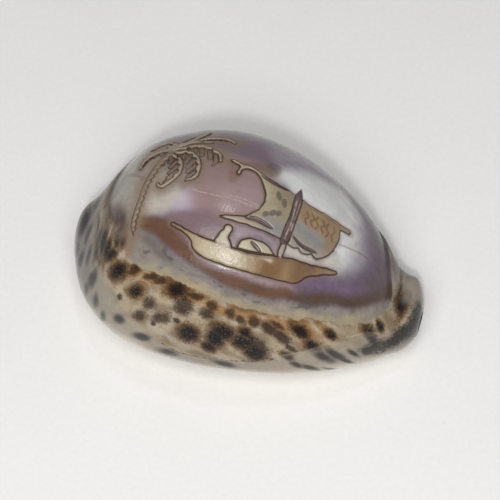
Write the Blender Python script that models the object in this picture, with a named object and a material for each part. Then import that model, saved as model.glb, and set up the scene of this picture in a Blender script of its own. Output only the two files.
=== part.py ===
"""A carved tiger cowrie shell, life size, as one hollow piece that rests on its base.

X runs along the shell from the blunt spire end to the narrow front end.
-Y is the side of the outer lip, +Y the side of the inner lip, and Z is up.
The sizes below are in millimetres, and the model is in metres.
"""

import math

import bmesh
import bpy
import numpy as np
from mathutils import Matrix

MM = 0.001

# Sizes of the outer form at stations along the shell.
# Place on X, half width at -Y, half width at +Y, crown height, height of the widest level, base height
STATIONS = (
    (-40.0, 3.4, 2.6, 13.9, 7.2, 3.6),
    (-38.4, 7.2, 5.1, 17.9, 8.8, 2.6),
    (-36.0, 12.2, 8.5, 20.8, 9.6, 1.6),
    (-32.8, 16.6, 15.0, 25.7, 10.8, 0.8),
    (-28.0, 21.0, 19.8, 33.8, 12.4, 0.1),
    (-20.0, 25.0, 24.0, 39.9, 14.0, -0.4),
    (-10.0, 26.5, 26.8, 43.1, 14.8, -0.5),
    (0.0, 26.2, 26.6, 42.9, 15.0, -0.5),
    (10.0, 24.3, 24.4, 39.4, 14.6, -0.5),
    (20.0, 20.9, 20.0, 32.5, 13.4, -0.3),
    (28.0, 16.2, 13.9, 24.8, 11.6, 0.3),
    (32.8, 12.5, 9.4, 17.7, 10.0, 1.1),
    (35.2, 10.4, 9.0, 14.3, 9.2, 1.8),
    (37.6, 8.4, 8.4, 14.0, 8.4, 2.4),
    (40.0, 3.9, 3.8, 11.6, 7.2, 3.6),
)
CROWN_FULLNESS = 2.1
BASE_FULLNESS = 2.6

# Sizes of the aperture along the shell.
# Place on X, centre line on Y, half of the gap, radius of the lips, depth of the slot
APERTURE = (
    (-40.0, -0.3, 1.6, 0.9, 3.0),
    (-36.0, 0.6, 1.9, 1.8, 4.2),
    (-30.0, 1.4, 2.1, 2.4, 5.6),
    (-20.0, 0.6, 2.2, 2.6, 6.4),
    (0.0, -1.3, 2.4, 2.6, 6.6),
    (20.0, -1.3, 2.8, 2.5, 6.2),
    (30.0, -0.7, 2.9, 2.2, 5.2),
    (36.0, -0.2, 2.5, 1.6, 4.0),
    (40.0, 0.0, 1.9, 1.0, 3.0),
)

# The teeth: pitch along X, how far a groove cuts into the lip and into the base, and how far it runs outward
OUTER_TEETH = {"pitch": 2.7, "lip_cut": 0.8, "base_cut": 0.9, "reach": 5.0}
INNER_TEETH = {"pitch": 2.4, "lip_cut": 0.6, "base_cut": 0.6, "reach": 3.2}
TEETH_END = 35.5
TEETH_FADE = 3.0

# The hollow inside: walls, its widest level, and where on X it narrows to the canal at each end
CROWN_WALL = 2.3
SIDE_WALL = 2.7
LEVEL_ABOVE_OUTER = 1.5
LEVEL_ABOVE_SLOT = 2.0
HOLLOW_FULL = 25.0
HOLLOW_END = 34.4
CANAL_HEIGHT = 5.2
CANAL_LEVEL_SHARE = 0.8
CANAL_CLEARANCE = 0.3
LEAST_DROP = 0.4
WIDEST_START = 0.97

# The outer layers are ground off the crown, which leaves a ledge round the picture field
LEDGE_HEIGHT = 0.6
LEDGE_SLOPE = 0.03
# Edge of the ground field: place on X, and how high it lies between the widest level, 0, and the ridge, 1
LEDGE_EDGE = (
    (-32.2, 1.00),
    (-30.0, 0.90),
    (-26.0, 0.84),
    (-22.5, 0.80),
    (-18.5, 0.67),
    (-12.0, 0.63),
    (-3.0, 0.58),
    (6.0, 0.55),
    (14.0, 0.55),
    (22.0, 0.57),
    (28.0, 0.63),
    (32.0, 0.78),
    (33.8, 1.00),
)

# The mesh: sections, how evenly they are spaced, points on each stretch of a section, and faces kept at the end
STATION_COUNT = 132
EVEN_SPACING = 0.88
BASE_SHARE = 0.80
LIP_POINTS = 4
BASE_POINTS = 7
CROWN_POINTS = 30
WALL_POINTS = 3
FACE_SHARE = 0.32
SHARP_ANGLE = 40.0
SHELL_COLOUR = (0.62, 0.53, 0.42, 1.0)
SHELL_ROUGHNESS = 0.22


def spline(places, values):
    """A natural cubic spline through the values, as a function of the place."""
    places = np.array(places, float)
    values = np.array(values, float)
    steps = np.diff(places)
    slopes = np.diff(values) / steps
    matrix = np.eye(len(places))
    bends = np.zeros(len(places))
    for i in range(1, len(places) - 1):
        matrix[i, i - 1 : i + 2] = (steps[i - 1], 2 * (steps[i - 1] + steps[i]), steps[i])
        bends[i] = 6 * (slopes[i] - slopes[i - 1])
    second = np.linalg.solve(matrix, bends)

    def value(place):
        i = np.clip(np.searchsorted(places, place) - 1, 0, len(steps) - 1)
        ahead = places[i + 1] - place
        behind = place - places[i]
        curve = (second[i] * ahead**3 + second[i + 1] * behind**3) / (6 * steps[i])
        start = (values[i] / steps[i] - second[i] * steps[i] / 6) * ahead
        end = (values[i + 1] / steps[i] - second[i + 1] * steps[i] / 6) * behind
        return curve + start + end

    return value


def columns(table):
    """One spline for each column of sizes in a table whose first column is the place."""
    rows = np.array(table)
    return [spline(rows[:, 0], rows[:, i]) for i in range(1, rows.shape[1])]


def smooth_step(low, high, value):
    """0 up to low, 1 from high on, and an even curve between."""
    share = np.clip((value - low) / (high - low), 0.0, 1.0)
    return share * share * (3 - 2 * share)


OUTER_FORM = columns(STATIONS)
APERTURE_FORM = columns(APERTURE)
LEDGE_FORM = columns(LEDGE_EDGE)[0]


def groove(x, teeth):
    """How deep the groove beside a tooth is at x, from 0 on a tooth to 1 between two."""
    fade = 1 - smooth_step(TEETH_END - TEETH_FADE, TEETH_END, abs(x))
    return fade * (0.5 - 0.5 * math.cos(2 * math.pi * x / teeth["pitch"]))


def oval_height(share, fullness):
    """Height of a full oval of height 1 at a share of its half width."""
    inside = max(0.0, 1 - abs(share) ** fullness)
    return inside ** (1 / fullness)


def oval_point(angle, width_left, width_right, rise, drop):
    """A point of the oval whose upper and lower halves differ, at an angle from +Y."""
    c, s = math.cos(angle), math.sin(angle)
    fullness = CROWN_FULLNESS if s >= 0 else BASE_FULLNESS
    reach = (abs(c) ** fullness + abs(s) ** fullness) ** (-1 / fullness)
    return (width_left if c < 0 else width_right) * c * reach, (rise if s >= 0 else drop) * s * reach


def ground_off(x, angle):
    """How far the grinding has lowered the crown at this place."""
    if not LEDGE_EDGE[0][0] < x < LEDGE_EDGE[-1][0]:
        return 0.0
    edge = LEDGE_FORM(x)
    return LEDGE_HEIGHT * smooth_step(edge - LEDGE_SLOPE, edge + LEDGE_SLOPE, math.sin(angle))


def lip_and_base(side, x, teeth, width, level, drop):
    """The rounded lip and the base on one side, from the slot outward. side is 1 at +Y and -1 at -Y."""
    centre, gap, radius, _ = (form(x) for form in APERTURE_FORM)
    cut = groove(x, teeth)
    edge = centre + side * (gap + cut * teeth["lip_cut"])
    outer = side * width * BASE_SHARE
    across = [radius * (1 - math.cos(b)) for b in np.linspace(0, math.pi / 2, LIP_POINTS)]
    lips = [edge + side * a for a in across]
    run = np.linspace(lips[-1], outer, BASE_POINTS)[1:]
    points = []
    for y in [*lips, *run]:
        away = side * (y - edge)
        z = max(level - drop * oval_height(y / width, BASE_FULLNESS), 0.0)
        if away < radius:
            z += radius - math.sqrt(max(0.0, radius**2 - (radius - away) ** 2))
        z += cut * teeth["base_cut"] * (1 - smooth_step(0.0, teeth["reach"], away))
        points.append((y, z))
    return points, edge


def outer_section(x):
    """The outline across the shell at x, from the inner lip over the crown to the outer lip, and its sizes."""
    left, right, crown, level, base = (form(x) for form in OUTER_FORM)
    rise, drop = crown - level, level - base
    start, edge_right = lip_and_base(1, x, INNER_TEETH, right, level, drop)
    end, edge_left = lip_and_base(-1, x, OUTER_TEETH, left, level, drop)
    corner = math.atan2(oval_height(BASE_SHARE, BASE_FULLNESS), BASE_SHARE)
    middle = []
    for angle in np.linspace(-corner, math.pi + corner, CROWN_POINTS + 2)[1:-1]:
        lowered = ground_off(x, angle)
        y, z = oval_point(angle, left - lowered, right - lowered, rise - lowered, drop)
        middle.append((y, max(level + z, 0.0)))
    return [*start, *middle, *reversed(end)], (edge_right, edge_left)


def hollow_section(x, edges, count):
    """The wall of the hollow at x, from the outer lip back to the inner lip."""
    left, right, crown, level, base = (form(x) for form in OUTER_FORM)
    centre, gap, radius, depth = (form(x) for form in APERTURE_FORM)
    base = max(base, 0.0)
    full = 1 - smooth_step(HOLLOW_FULL, HOLLOW_END, abs(x))
    canal = gap + CANAL_CLEARANCE
    middle = centre * (1 - full)
    wide_right = canal + full * (right - SIDE_WALL - canal)
    wide_left = canal + full * (left - SIDE_WALL - canal)
    roof = base + CANAL_HEIGHT + full * (crown - CROWN_WALL - base - CANAL_HEIGHT)
    floor = base + depth
    hollow_level = full * max(level + LEVEL_ABOVE_OUTER, floor + LEVEL_ABOVE_SLOT)
    hollow_level += (1 - full) * floor * CANAL_LEVEL_SHARE
    low = max(hollow_level - floor, LEAST_DROP)

    def start_angle(edge, width):
        share = min(abs(edge - middle) / width, WIDEST_START)
        return math.atan2(oval_height(share, BASE_FULLNESS), share)

    first = -start_angle(edges[0], wide_right)
    last = math.pi + start_angle(edges[1], wide_left)
    arc = []
    for angle in np.linspace(first, last, count - 2 * WALL_POINTS):
        y, z = oval_point(angle, wide_left, wide_right, roof - hollow_level, low)
        arc.append((middle + y, hollow_level + z))
    points = []
    for (y, z), edge in ((arc[0], edges[0]), (arc[-1], edges[1])):
        foot = base + radius
        heights = np.linspace(foot, z, WALL_POINTS + 2)[1:-1]
        shares = np.linspace(0, 1, WALL_POINTS + 2)[1:-1]
        points.append([(edge + (y - edge) * s, h) for s, h in zip(shares, heights)])
    return list(reversed([*points[0], *arc, *reversed(points[1])]))


def stations():
    """Places of the sections on X, closer together at the two ends."""
    half = STATIONS[-1][0]
    even = np.linspace(-1, 1, STATION_COUNT)
    return half * (EVEN_SPACING * even + (1 - EVEN_SPACING) * np.sin(even * math.pi / 2))


def shell_mesh():
    """The closed skin of the shell: outer form, lips, teeth and hollow in one."""
    bm = bmesh.new()
    rings = []
    for x in stations():
        outer, edges = outer_section(float(x))
        inner = hollow_section(float(x), edges, len(outer))
        rings.append([bm.verts.new((x * MM, y * MM, z * MM)) for y, z in [*outer, *inner]])
    count = len(rings[0])
    for ring, after in zip(rings, rings[1:]):
        for i in range(count):
            j = (i + 1) % count
            bm.faces.new((ring[i], ring[j], after[j], after[i]))
    for ring in (rings[0], rings[-1]):
        for i in range(count // 2 - 1):
            bm.faces.new((ring[i], ring[i + 1], ring[count - 2 - i], ring[count - 1 - i]))
    bmesh.ops.triangulate(bm, faces=bm.faces)
    bmesh.ops.recalc_face_normals(bm, faces=bm.faces)
    mesh = bpy.data.meshes.new("shell")
    bm.to_mesh(mesh)
    bm.free()
    return mesh


def stand_on_origin(mesh):
    """Moves the mesh so that the origin is under its middle, on the surface that it rests on."""
    corners = np.array([v.co for v in mesh.vertices])
    low, high = corners.min(0), corners.max(0)
    middle = (low + high) / 2
    mesh.transform(Matrix.Translation((-middle[0], -middle[1], -low[2])))


def shell_material():
    """Polished shell, pale with a warm cast."""
    material = bpy.data.materials.new("polished_shell")
    material.use_nodes = True
    shader = material.node_tree.nodes["Principled BSDF"]
    shader.inputs["Base Color"].default_value = SHELL_COLOUR
    shader.inputs["Roughness"].default_value = SHELL_ROUGHNESS
    shader.inputs["Metallic"].default_value = 0.0
    return material


def main():
    for obj in list(bpy.data.objects):
        bpy.data.objects.remove(obj)
    mesh = shell_mesh()
    stand_on_origin(mesh)
    mesh.shade_smooth()
    mesh.set_sharp_from_angle(angle=math.radians(SHARP_ANGLE))
    mesh.materials.append(shell_material())
    shell = bpy.data.objects.new("shell", mesh)
    bpy.context.scene.collection.objects.link(shell)
    fewer = shell.modifiers.new("fewer_faces", "DECIMATE")
    fewer.ratio = FACE_SHARE


main()
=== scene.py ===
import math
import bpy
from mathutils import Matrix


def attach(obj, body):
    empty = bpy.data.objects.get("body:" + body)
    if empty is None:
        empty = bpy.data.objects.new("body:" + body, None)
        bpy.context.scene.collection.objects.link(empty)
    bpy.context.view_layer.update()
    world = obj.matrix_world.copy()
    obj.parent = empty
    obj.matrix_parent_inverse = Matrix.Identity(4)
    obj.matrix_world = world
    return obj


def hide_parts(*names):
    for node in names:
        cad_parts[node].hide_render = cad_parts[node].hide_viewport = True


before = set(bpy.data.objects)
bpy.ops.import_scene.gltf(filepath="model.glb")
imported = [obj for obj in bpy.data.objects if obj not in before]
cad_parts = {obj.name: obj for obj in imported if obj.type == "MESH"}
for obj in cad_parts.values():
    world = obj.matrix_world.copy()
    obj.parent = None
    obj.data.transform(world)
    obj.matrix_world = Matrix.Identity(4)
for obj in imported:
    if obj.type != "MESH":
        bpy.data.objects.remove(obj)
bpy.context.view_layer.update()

# A carved tiger cowrie shell: one polished piece with a ground crown, a carved picture and a spotted rim.
# Sizes are in millimetres. A place on the outside is (x along the shell, way round it from the ridge),
# where the way is positive towards the outer lip at -Y, which faces the camera.
from types import SimpleNamespace

import bpy
import numpy as np
from mathutils import Vector

MM = 0.001

# Outer form, as in the solid: place on X, half width at -Y, half width at +Y, crown height, height of the
# widest level, base height
STATIONS = (
    (-40.0, 3.4, 2.6, 13.9, 7.2, 3.6),
    (-38.4, 7.2, 5.1, 17.9, 8.8, 2.6),
    (-36.0, 12.2, 8.5, 20.8, 9.6, 1.6),
    (-32.8, 16.6, 15.0, 25.7, 10.8, 0.8),
    (-28.0, 21.0, 19.8, 33.8, 12.4, 0.1),
    (-20.0, 25.0, 24.0, 39.9, 14.0, -0.4),
    (-10.0, 26.5, 26.8, 43.1, 14.8, -0.5),
    (0.0, 26.2, 26.6, 42.9, 15.0, -0.5),
    (10.0, 24.3, 24.4, 39.4, 14.6, -0.5),
    (20.0, 20.9, 20.0, 32.5, 13.4, -0.3),
    (28.0, 16.2, 13.9, 24.8, 11.6, 0.3),
    (32.8, 12.5, 9.4, 17.7, 10.0, 1.1),
    (35.2, 10.4, 9.0, 14.3, 9.2, 1.8),
    (37.6, 8.4, 8.4, 14.0, 8.4, 2.4),
    (40.0, 3.9, 3.8, 11.6, 7.2, 3.6),
)
HALF_LENGTH = STATIONS[-1][0]
CROWN_FULLNESS = 2.1
BASE_FULLNESS = 2.6
# The slot: place on X, centre line on Y, half of the gap, radius of the lips, depth
APERTURE = (
    (-40.0, -0.3, 1.6, 0.9, 3.0),
    (-36.0, 0.6, 1.9, 1.8, 4.2),
    (-30.0, 1.4, 2.1, 2.4, 5.6),
    (-20.0, 0.6, 2.2, 2.6, 6.4),
    (0.0, -1.3, 2.4, 2.6, 6.6),
    (20.0, -1.3, 2.8, 2.5, 6.2),
    (30.0, -0.7, 2.9, 2.2, 5.2),
    (36.0, -0.2, 2.5, 1.6, 4.0),
    (40.0, 0.0, 1.9, 1.0, 3.0),
)
OUTER_TEETH = {"pitch": 2.7, "lip_cut": 0.8, "base_cut": 0.9, "reach": 5.0}
INNER_TEETH = {"pitch": 2.4, "lip_cut": 0.6, "base_cut": 0.6, "reach": 3.2}
TEETH_END = 35.5
TEETH_FADE = 3.0
# The wall, and the stretch from the middle over which the hollow narrows to a canal
CROWN_WALL = 2.3
SIDE_WALL = 2.7
HOLLOW_FULL = 25.0
HOLLOW_END = 34.4
CANAL_HEIGHT = 5.2
CANAL_GAP = 0.3
# Towards both ends the canal narrows, from this place on X: by how much, and by which share of its height
PINCH_START = 36.5
PINCH_GAP = 0.7
PINCH_HEIGHT = 0.45
# Edge of the ground crown as a closed outline of places on the shell, the near side first
LEDGE = (
    (-32.4, -1.0), (-31.6, 3.0), (-29.8, 7.4), (-27.6, 10.6), (-25.0, 13.6), (-22.8, 17.2), (-20.6, 20.2),
    (-17.9, 21.6), (-15.9, 22.4), (-12.4, 23.1), (-9.3, 24.1), (-6.5, 24.7), (-3.2, 25.3), (1.3, 25.8),
    (4.4, 25.6), (8.4, 24.7), (11.1, 24.1), (15.0, 22.3), (18.6, 20.2), (22.6, 18.1), (25.2, 16.7),
    (28.4, 13.8), (30.9, 10.5), (33.0, 5.6), (33.6, 3.0), (33.4, 0.6), (32.1, -3.4), (30.3, -9.0),
    (28.5, -15.0), (26.0, -20.5), (22.5, -25.5), (18.0, -29.0), (12.0, -31.5), (6.0, -33.0),
    (-6.0, -33.0), (-16.0, -31.0), (-22.0, -28.0), (-26.0, -24.0), (-30.0, -16.5), (-32.0, -8.0),
)
LEDGE_HEIGHT = 0.6
LEDGE_WIDTH = 0.30
# Height shares between which whatever is carved or painted fades out above the corner to the base
BASE_CORNER = (-0.66, -0.2)

# The mesh: stretches of X with their steps, and lines round each stretch of a section
X_STRETCHES = (
    (-40.0, -38.8, 0.2), (-38.8, -30.0, 0.46), (-30.0, 23.5, 0.25), (23.5, 38.8, 0.46), (38.8, 40.0, 0.2),
)
SECTION_POINTS = 901
# The picture's lines lie from FIELD_FAR to FIELD_NEAR round the section, the ledge's up to LEDGE_NEAR
FIELD_FAR = -18.5
FIELD_NEAR = 18.5
LEDGE_NEAR = 28.0
FIELD_LINES = 148
LEDGE_LINES = 28
NEAR_LINES = 44
FAR_LINES = 42
# The base is drawn out to this share of the half width, and the oval from there
BASE_SHARE = 0.80
BASE_LINES = 17
LIP_LINES = 7
HOLLOW_LINES = 32
# The rims at both ends are rounded over this length
END_ROUND = 1.2

# The picture, in places on the shell. A point given twice is a corner.
HULL = (
    (-13.4, 11.3), (-11.3, 12.1), (-8.9, 13.0), (-5.6, 13.7), (-2.9, 13.8), (1.6, 13.9), (5.0, 13.5),
    (8.8, 12.2), (12.8, 10.6), (16.8, 9.4), (21.6, 7.3), (21.8, 7.7), (21.3, 8.1), (18.6, 10.2),
    (16.3, 12.1), (15.4, 13.7), (14.2, 14.8), (12.3, 15.6), (8.3, 16.7), (3.7, 17.5), (-0.3, 17.8),
    (-4.7, 17.5), (-7.3, 16.4), (-8.5, 14.5), (-9.9, 13.3), (-12.4, 12.2), (-13.6, 11.7),
)
FIGURE = (
    (-3.4, 13.9), (-3.0, 12.2), (-2.7, 11.3), (-2.1, 10.6), (-2.1, 9.9), (-1.6, 9.5), (-0.9, 9.6),
    (-0.6, 10.2), (-0.8, 11.0), (-1.1, 11.8), (-0.9, 12.3), (-0.4, 12.9), (0.1, 14.2), (-1.6, 14.8),
)
CABIN = (
    (1.5, 13.3), (1.5, 13.3), (1.8, 12.3), (2.3, 11.5), (3.3, 10.8), (4.7, 10.5), (6.3, 10.4),
    (7.6, 10.7), (9.0, 11.6), (9.0, 11.6), (6.5, 12.4), (4.0, 13.0),
)
LEFT_SAIL = (
    (-5.1, -6.8), (-5.1, -6.8), (-2.6, -6.2), (-0.3, -6.1), (2.2, -5.1), (5.5, -4.3), (8.5, -3.9),
    (9.8, -3.6), (9.8, -3.6), (10.0, 1.2), (9.5, 7.6), (9.5, 7.6), (6.7, 7.6), (4.4, 7.8), (2.2, 7.8),
    (0.3, 8.0), (-1.4, 8.1), (-3.7, 8.0), (-3.7, 8.0), (-1.6, 7.3), (0.3, 6.8), (1.6, 6.2), (2.7, 5.1),
    (3.7, 3.8), (4.3, 2.2), (4.4, 0.6), (4.1, -0.7), (3.4, -2.1), (2.1, -4.0), (0.8, -5.1), (-0.5, -5.5),
    (-1.6, -5.4), (-2.3, -4.8), (-2.5, -4.2), (-2.6, -3.3), (-3.1, -3.4), (-3.0, -4.4), (-2.9, -5.4),
    (-3.8, -5.9), (-5.2, -6.4),
)
RIGHT_SAIL = (
    (11.6, -3.4), (11.6, -3.4), (13.7, -3.1), (16.5, -3.4), (19.3, -3.5), (22.2, -3.7), (22.2, -3.7),
    (22.2, -2.9), (22.2, -2.9), (20.5, -2.5), (20.3, -2.0), (20.5, -0.1), (20.3, 2.7), (19.3, 5.1),
    (17.9, 6.9), (17.0, 7.2), (16.3, 6.8), (15.6, 7.5), (14.4, 7.8), (13.5, 7.4), (12.6, 7.9),
    (11.4, 7.9), (11.4, 7.9), (11.5, 5.8), (11.7, -0.6),
)
MAST = (
    (10.6, -6.2), (10.6, -6.2), (9.9, -3.3), (10.1, 1.2), (9.6, 7.7), (10.2, 8.6), (11.1, 7.6),
    (11.4, 5.8), (11.6, -0.6), (11.4, -3.8),
)
MAST_FOOT = ((10.2, 7.7), (10.2, 7.7), (9.9, 10.9), (10.3, 11.4), (10.7, 10.8), (11.0, 7.8), (11.0, 7.8))
# Cuts into the raised shapes: the line's points, and half of its width in the middle
CUTS = (
    (((3.9, 11.1), (6.3, 12.4)), 0.38),
    (((1.4, 6.6), (3.5, 6.1), (5.5, 6.2), (7.4, 6.5)), 0.52),
    (((1.9, -4.7), (4.8, -4.0), (8.2, -3.8)), 0.34),
    (((11.9, 5.9), (14.1, 6.7), (17.2, 6.2)), 0.34),
)
# Shallow dents in the sails: the line's points, and half of its width
DENTS = (
    (((6.3, -2.5), (7.1, -0.3)), 0.58), (((8.0, -1.3), (8.5, 0.8)), 0.58), (((4.8, 4.8), (5.7, 3.4)), 0.60),
    (((6.1, 4.0), (7.1, 2.3)), 0.60), (((7.4, 3.4), (8.1, 2.0)), 0.56),
)
# Plain wavy marks in the right sail, and the line under its spar: the line's points and half of the width
WAVES = (
    (((13.1, -1.0), (13.6, -0.2), (13.1, 0.8), (13.6, 1.9)), 0.17),
    (((14.2, -1.3), (14.9, -0.6), (14.3, 0.4), (14.9, 1.5)), 0.17),
    (((15.5, -1.6), (15.2, -0.5), (15.9, 0.4), (15.5, 1.6)), 0.17),
    (((16.5, -1.6), (17.1, -0.7), (16.6, 0.3), (17.2, 1.4)), 0.17),
    (((17.8, -1.7), (17.6, -0.4), (18.3, 0.6), (17.9, 1.8)), 0.17),
    (((18.9, -1.6), (19.4, -0.6), (19.0, 0.6), (19.4, 1.8)), 0.15),
    (((13.0, -2.4), (16.5, -2.7), (20.0, -2.9)), 0.10),
)
# Palm ribs: the points, half of the width at the start, middle and tip, and the web on the inner side
RIBS = (
    (((-19.2, -9.8), (-16.9, -11.0), (-15.7, -12.4), (-14.6, -14.3), (-13.4, -16.9)),
        (0.32, 0.34, 0.48), 0.0),
    (((-18.6, -9.5), (-17.1, -10.2), (-16.1, -11.0), (-13.9, -11.6), (-11.1, -11.8)),
        (0.40, 0.22, 0.12), 0.0),
    (((-16.4, -10.8), (-14.8, -11.9), (-13.5, -12.9), (-12.1, -13.6), (-10.4, -14.0), (-8.2, -14.1),
        (-6.4, -13.1)), (0.20, 0.26, 0.16), 0.15),
    (((-18.9, -8.6), (-17.0, -9.0), (-15.7, -9.6), (-14.2, -9.9), (-12.6, -9.9), (-11.3, -9.5),
        (-10.0, -8.8), (-8.9, -8.2), (-8.0, -7.2), (-7.5, -5.6)), (0.20, 0.20, 0.14), 0.42),
    (((-18.6, -7.6), (-17.4, -7.3), (-16.3, -7.7), (-14.9, -7.4), (-13.6, -6.5), (-12.5, -5.2),
        (-11.8, -3.8), (-11.5, -2.4), (-11.5, -0.6), (-12.3, 0.4), (-13.5, 0.9)),
        (0.22, 0.22, 0.12), 0.46),
    (((-19.0, -6.9), (-17.7, -5.9), (-16.8, -5.2), (-16.0, -3.9), (-15.6, -2.4), (-15.6, -0.9),
        (-16.1, 0.1), (-16.6, 1.0), (-17.7, 2.3), (-18.4, 2.8), (-19.3, 2.6), (-19.7, 1.9)),
        (0.22, 0.24, 0.14), 0.40),
    (((-19.6, -8.0), (-21.0, -8.1), (-22.4, -7.7), (-23.8, -6.7), (-24.7, -5.5), (-25.1, -4.2),
        (-25.2, -2.9)), (0.30, 0.26, 0.12), 0.0),
    (((-19.4, -10.6), (-21.0, -11.9), (-22.2, -11.4), (-23.3, -10.6), (-24.4, -9.4)),
        (0.34, 0.28, 0.12), 0.0),
)
# Gouged leaves under the ribs: deep end at the rib, shallow end, and half of the width
LEAVES = (
    ((-15.9, -9.0), (-15.3, -7.9), 0.42), ((-14.4, -9.1), (-13.8, -7.6), 0.50),
    ((-12.8, -9.0), (-12.1, -6.7), 0.66), ((-10.8, -8.4), (-10.0, -5.9), 0.66),
    ((-9.1, -7.3), (-8.6, -5.0), 0.58), ((-8.2, -5.9), (-8.9, -3.9), 0.40),
    ((-17.4, -6.6), (-17.3, -5.6), 0.36), ((-16.2, -6.9), (-16.0, -5.2), 0.48),
    ((-14.7, -6.4), (-15.0, -4.0), 0.56), ((-13.4, -5.1), (-14.3, -2.6), 0.60),
    ((-12.6, -3.4), (-13.9, -1.3), 0.56), ((-12.2, -1.5), (-13.5, 0.0), 0.48),
    ((-18.3, -5.1), (-18.9, -3.9), 0.42), ((-17.3, -4.6), (-18.2, -2.5), 0.50),
    ((-16.5, -3.2), (-17.9, -0.9), 0.52), ((-16.3, -1.4), (-17.9, 0.4), 0.50),
    ((-16.9, 0.2), (-18.3, 1.6), 0.42), ((-20.9, -7.3), (-21.4, -6.3), 0.30),
    ((-22.2, -6.9), (-22.9, -5.9), 0.32), ((-23.5, -6.0), (-24.1, -4.9), 0.32),
    ((-24.4, -4.8), (-24.6, -3.6), 0.28), ((-19.8, -5.6), (-19.4, -4.6), 0.36),
    ((-20.4, -4.0), (-19.9, -3.2), 0.32), ((-14.2, -12.0), (-12.6, -12.4), 0.24),
    ((-12.2, -12.9), (-10.4, -13.2), 0.26), ((-10.0, -13.4), (-8.2, -13.3), 0.24),
    ((-17.6, -11.9), (-17.0, -12.9), 0.24), ((-16.6, -13.2), (-15.9, -14.3), 0.24),
    ((-20.4, -11.0), (-19.8, -11.3), 0.3),
)
TRUNK = (
    (-19.4, -7.6), (-20.0, -5.8), (-20.8, -4.2), (-21.5, -1.9), (-22.0, 0.4), (-22.3, 2.7), (-22.4, 5.0),
    (-22.5, 7.8), (-22.6, 10.0), (-22.4, 12.0), (-22.0, 14.0), (-21.8, 16.0), (-22.0, 18.0),
)
TRUNK_WIDTH = 0.66
TRUNK_NOTCH = 0.38
TRUNK_PITCH = 1.45
TRUNK_FADE = (12.0, 15.5)
# Middle and half width of the tuft that the ribs grow from
PALM_HEART = ((-19.3, -9.1), 1.35)
# Brown lines that are scratched or worn into the crown: the line's points and half of its width
SCRATCHES = (
    (((21.2, 1.0), (25.5, -0.4), (30.6, -1.7)), 0.10),
    (((-11.1, -4.7), (-10.5, -3.1), (-10.7, -1.1), (-11.4, 0.7), (-12.6, 1.9)), 0.20),
    (((-30.4, -4.2), (-27.2, -2.0), (-24.9, -0.6), (-23.1, 0.6)), 0.32),
    (((-22.0, 13.2), (-21.6, 14.4), (-22.0, 15.6), (-21.6, 16.8), (-22.1, 18.0), (-21.9, 19.4)), 0.13),
)
# Pale lines on the sea, the spars and the back
PALE_LINES = (
    (((-12.8, 2.8), (-9.6, 3.4), (-6.2, 3.6), (-1.9, 3.4), (1.5, 3.5), (3.9, 3.4)), 0.10),
    (((-3.0, 2.7), (0.5, 2.6), (3.6, 2.9)), 0.10),
    (((10.5, -4.8), (10.6, -1.0), (10.8, 2.6), (10.4, 7.2)), 0.09),
    (((11.3, -3.0), (11.35, 0.6), (11.2, 5.0)), 0.07),
    (((-20.5, 26.2), (-19.7, 24.7), (-17.8, 24.1), (-15.8, 24.9), (-14.8, 26.8), (-15.2, 28.8),
        (-16.2, 30.2)), 0.09),
)
# The brown line along the boat's rail, a painted shadow where the cabin and the figure meet the hull
RAIL_SHADOW_LINE = (
    ((-6.4, 12.9), (-3.5, 13.7), (-0.3, 14.0), (1.3, 14.1), (3.5, 14.1), (6.2, 13.5), (9.0, 12.5),
        (12.5, 11.2)), 0.22,
)
# The black dotted scratch along the near margin
DOTTED = (((-13.3, 40.7), (-9.0, 44.2), (-3.3, 44.6), (3.3, 42.7), (9.6, 39.0), (12.4, 36.0)), 0.30)
# Fields of thin lines that the material reads by name
LINE_FIELDS = {
    "scratch": SCRATCHES,
    "pale_line": PALE_LINES,
    "gunwale": (RAIL_SHADOW_LINE,),
    "waves": WAVES,
    "dotted": (DOTTED,),
}
# How far the picture rises over the crown, how wide its edges are, and how deep the other cuts are
PICTURE_RISE = 0.30
EDGE_WIDTH = 0.20
CONTOUR_DEPTH = 0.10
LEAF_DEPTH = 0.16
DENT_DEPTH = 0.07
FOLD_DEPTH = 0.32
MARGIN_DEPTH = 0.10
UNEVENNESS = 0.04
# How far from the middle the picture reaches, on X and round the shell
PICTURE_REACH = (27.0, 21.5)
# A distance outside every shape, and the lowest value that is kept on the mesh
NOWHERE = -9.0
LOWEST = -5.0

# The line between the spotted back and the smooth margin, which grew last, as a closed outline
MARGIN = (
    (-33.3, -1.0), (-33.5, 3.0), (-32.6, 7.0), (-31.5, 10.8), (-30.2, 15.4), (-28.6, 19.0), (-25.7, 23.6),
    (-21.8, 30.7), (-16.6, 37.2), (-12.0, 41.5), (-7.5, 44.2), (2.0, 43.2), (9.6, 39.0), (13.1, 34.7),
    (18.5, 28.9), (22.0, 24.5), (25.7, 19.7), (29.0, 15.5), (31.5, 12.5), (34.6, 9.2), (37.2, 5.6),
    (38.0, 2.4), (36.6, -1.4), (34.4, -5.0), (32.2, -11.0), (27.0, -19.0), (20.5, -28.0), (12.8, -37.0),
    (0.0, -43.0), (-10.0, -42.5), (-18.0, -36.0), (-25.0, -27.0), (-30.5, -15.0), (-32.5, -7.0),
)

# The grooves where the margin folds over at both ends
GROOVES = (
    ((-32.0, -9.0), (-33.3, -1.0), (-33.3, 3.0), (-32.2, 6.8), (-31.4, 10.8), (-30.0, 15.8), (-28.9, 18.6)),
    ((32.2, -11.0), (33.9, -6.0), (34.7, -1.5), (34.6, 1.0)),
)
# The dark grey band at the lower edge of the front end
BAND = ((28.5, 21.5), (31.1, 18.1), (33.4, 14.0), (35.8, 10.4), (38.0, 7.2), (39.5, 3.8), (40.0, 0.3))
BAND_WIDTH = 3.5

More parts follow.
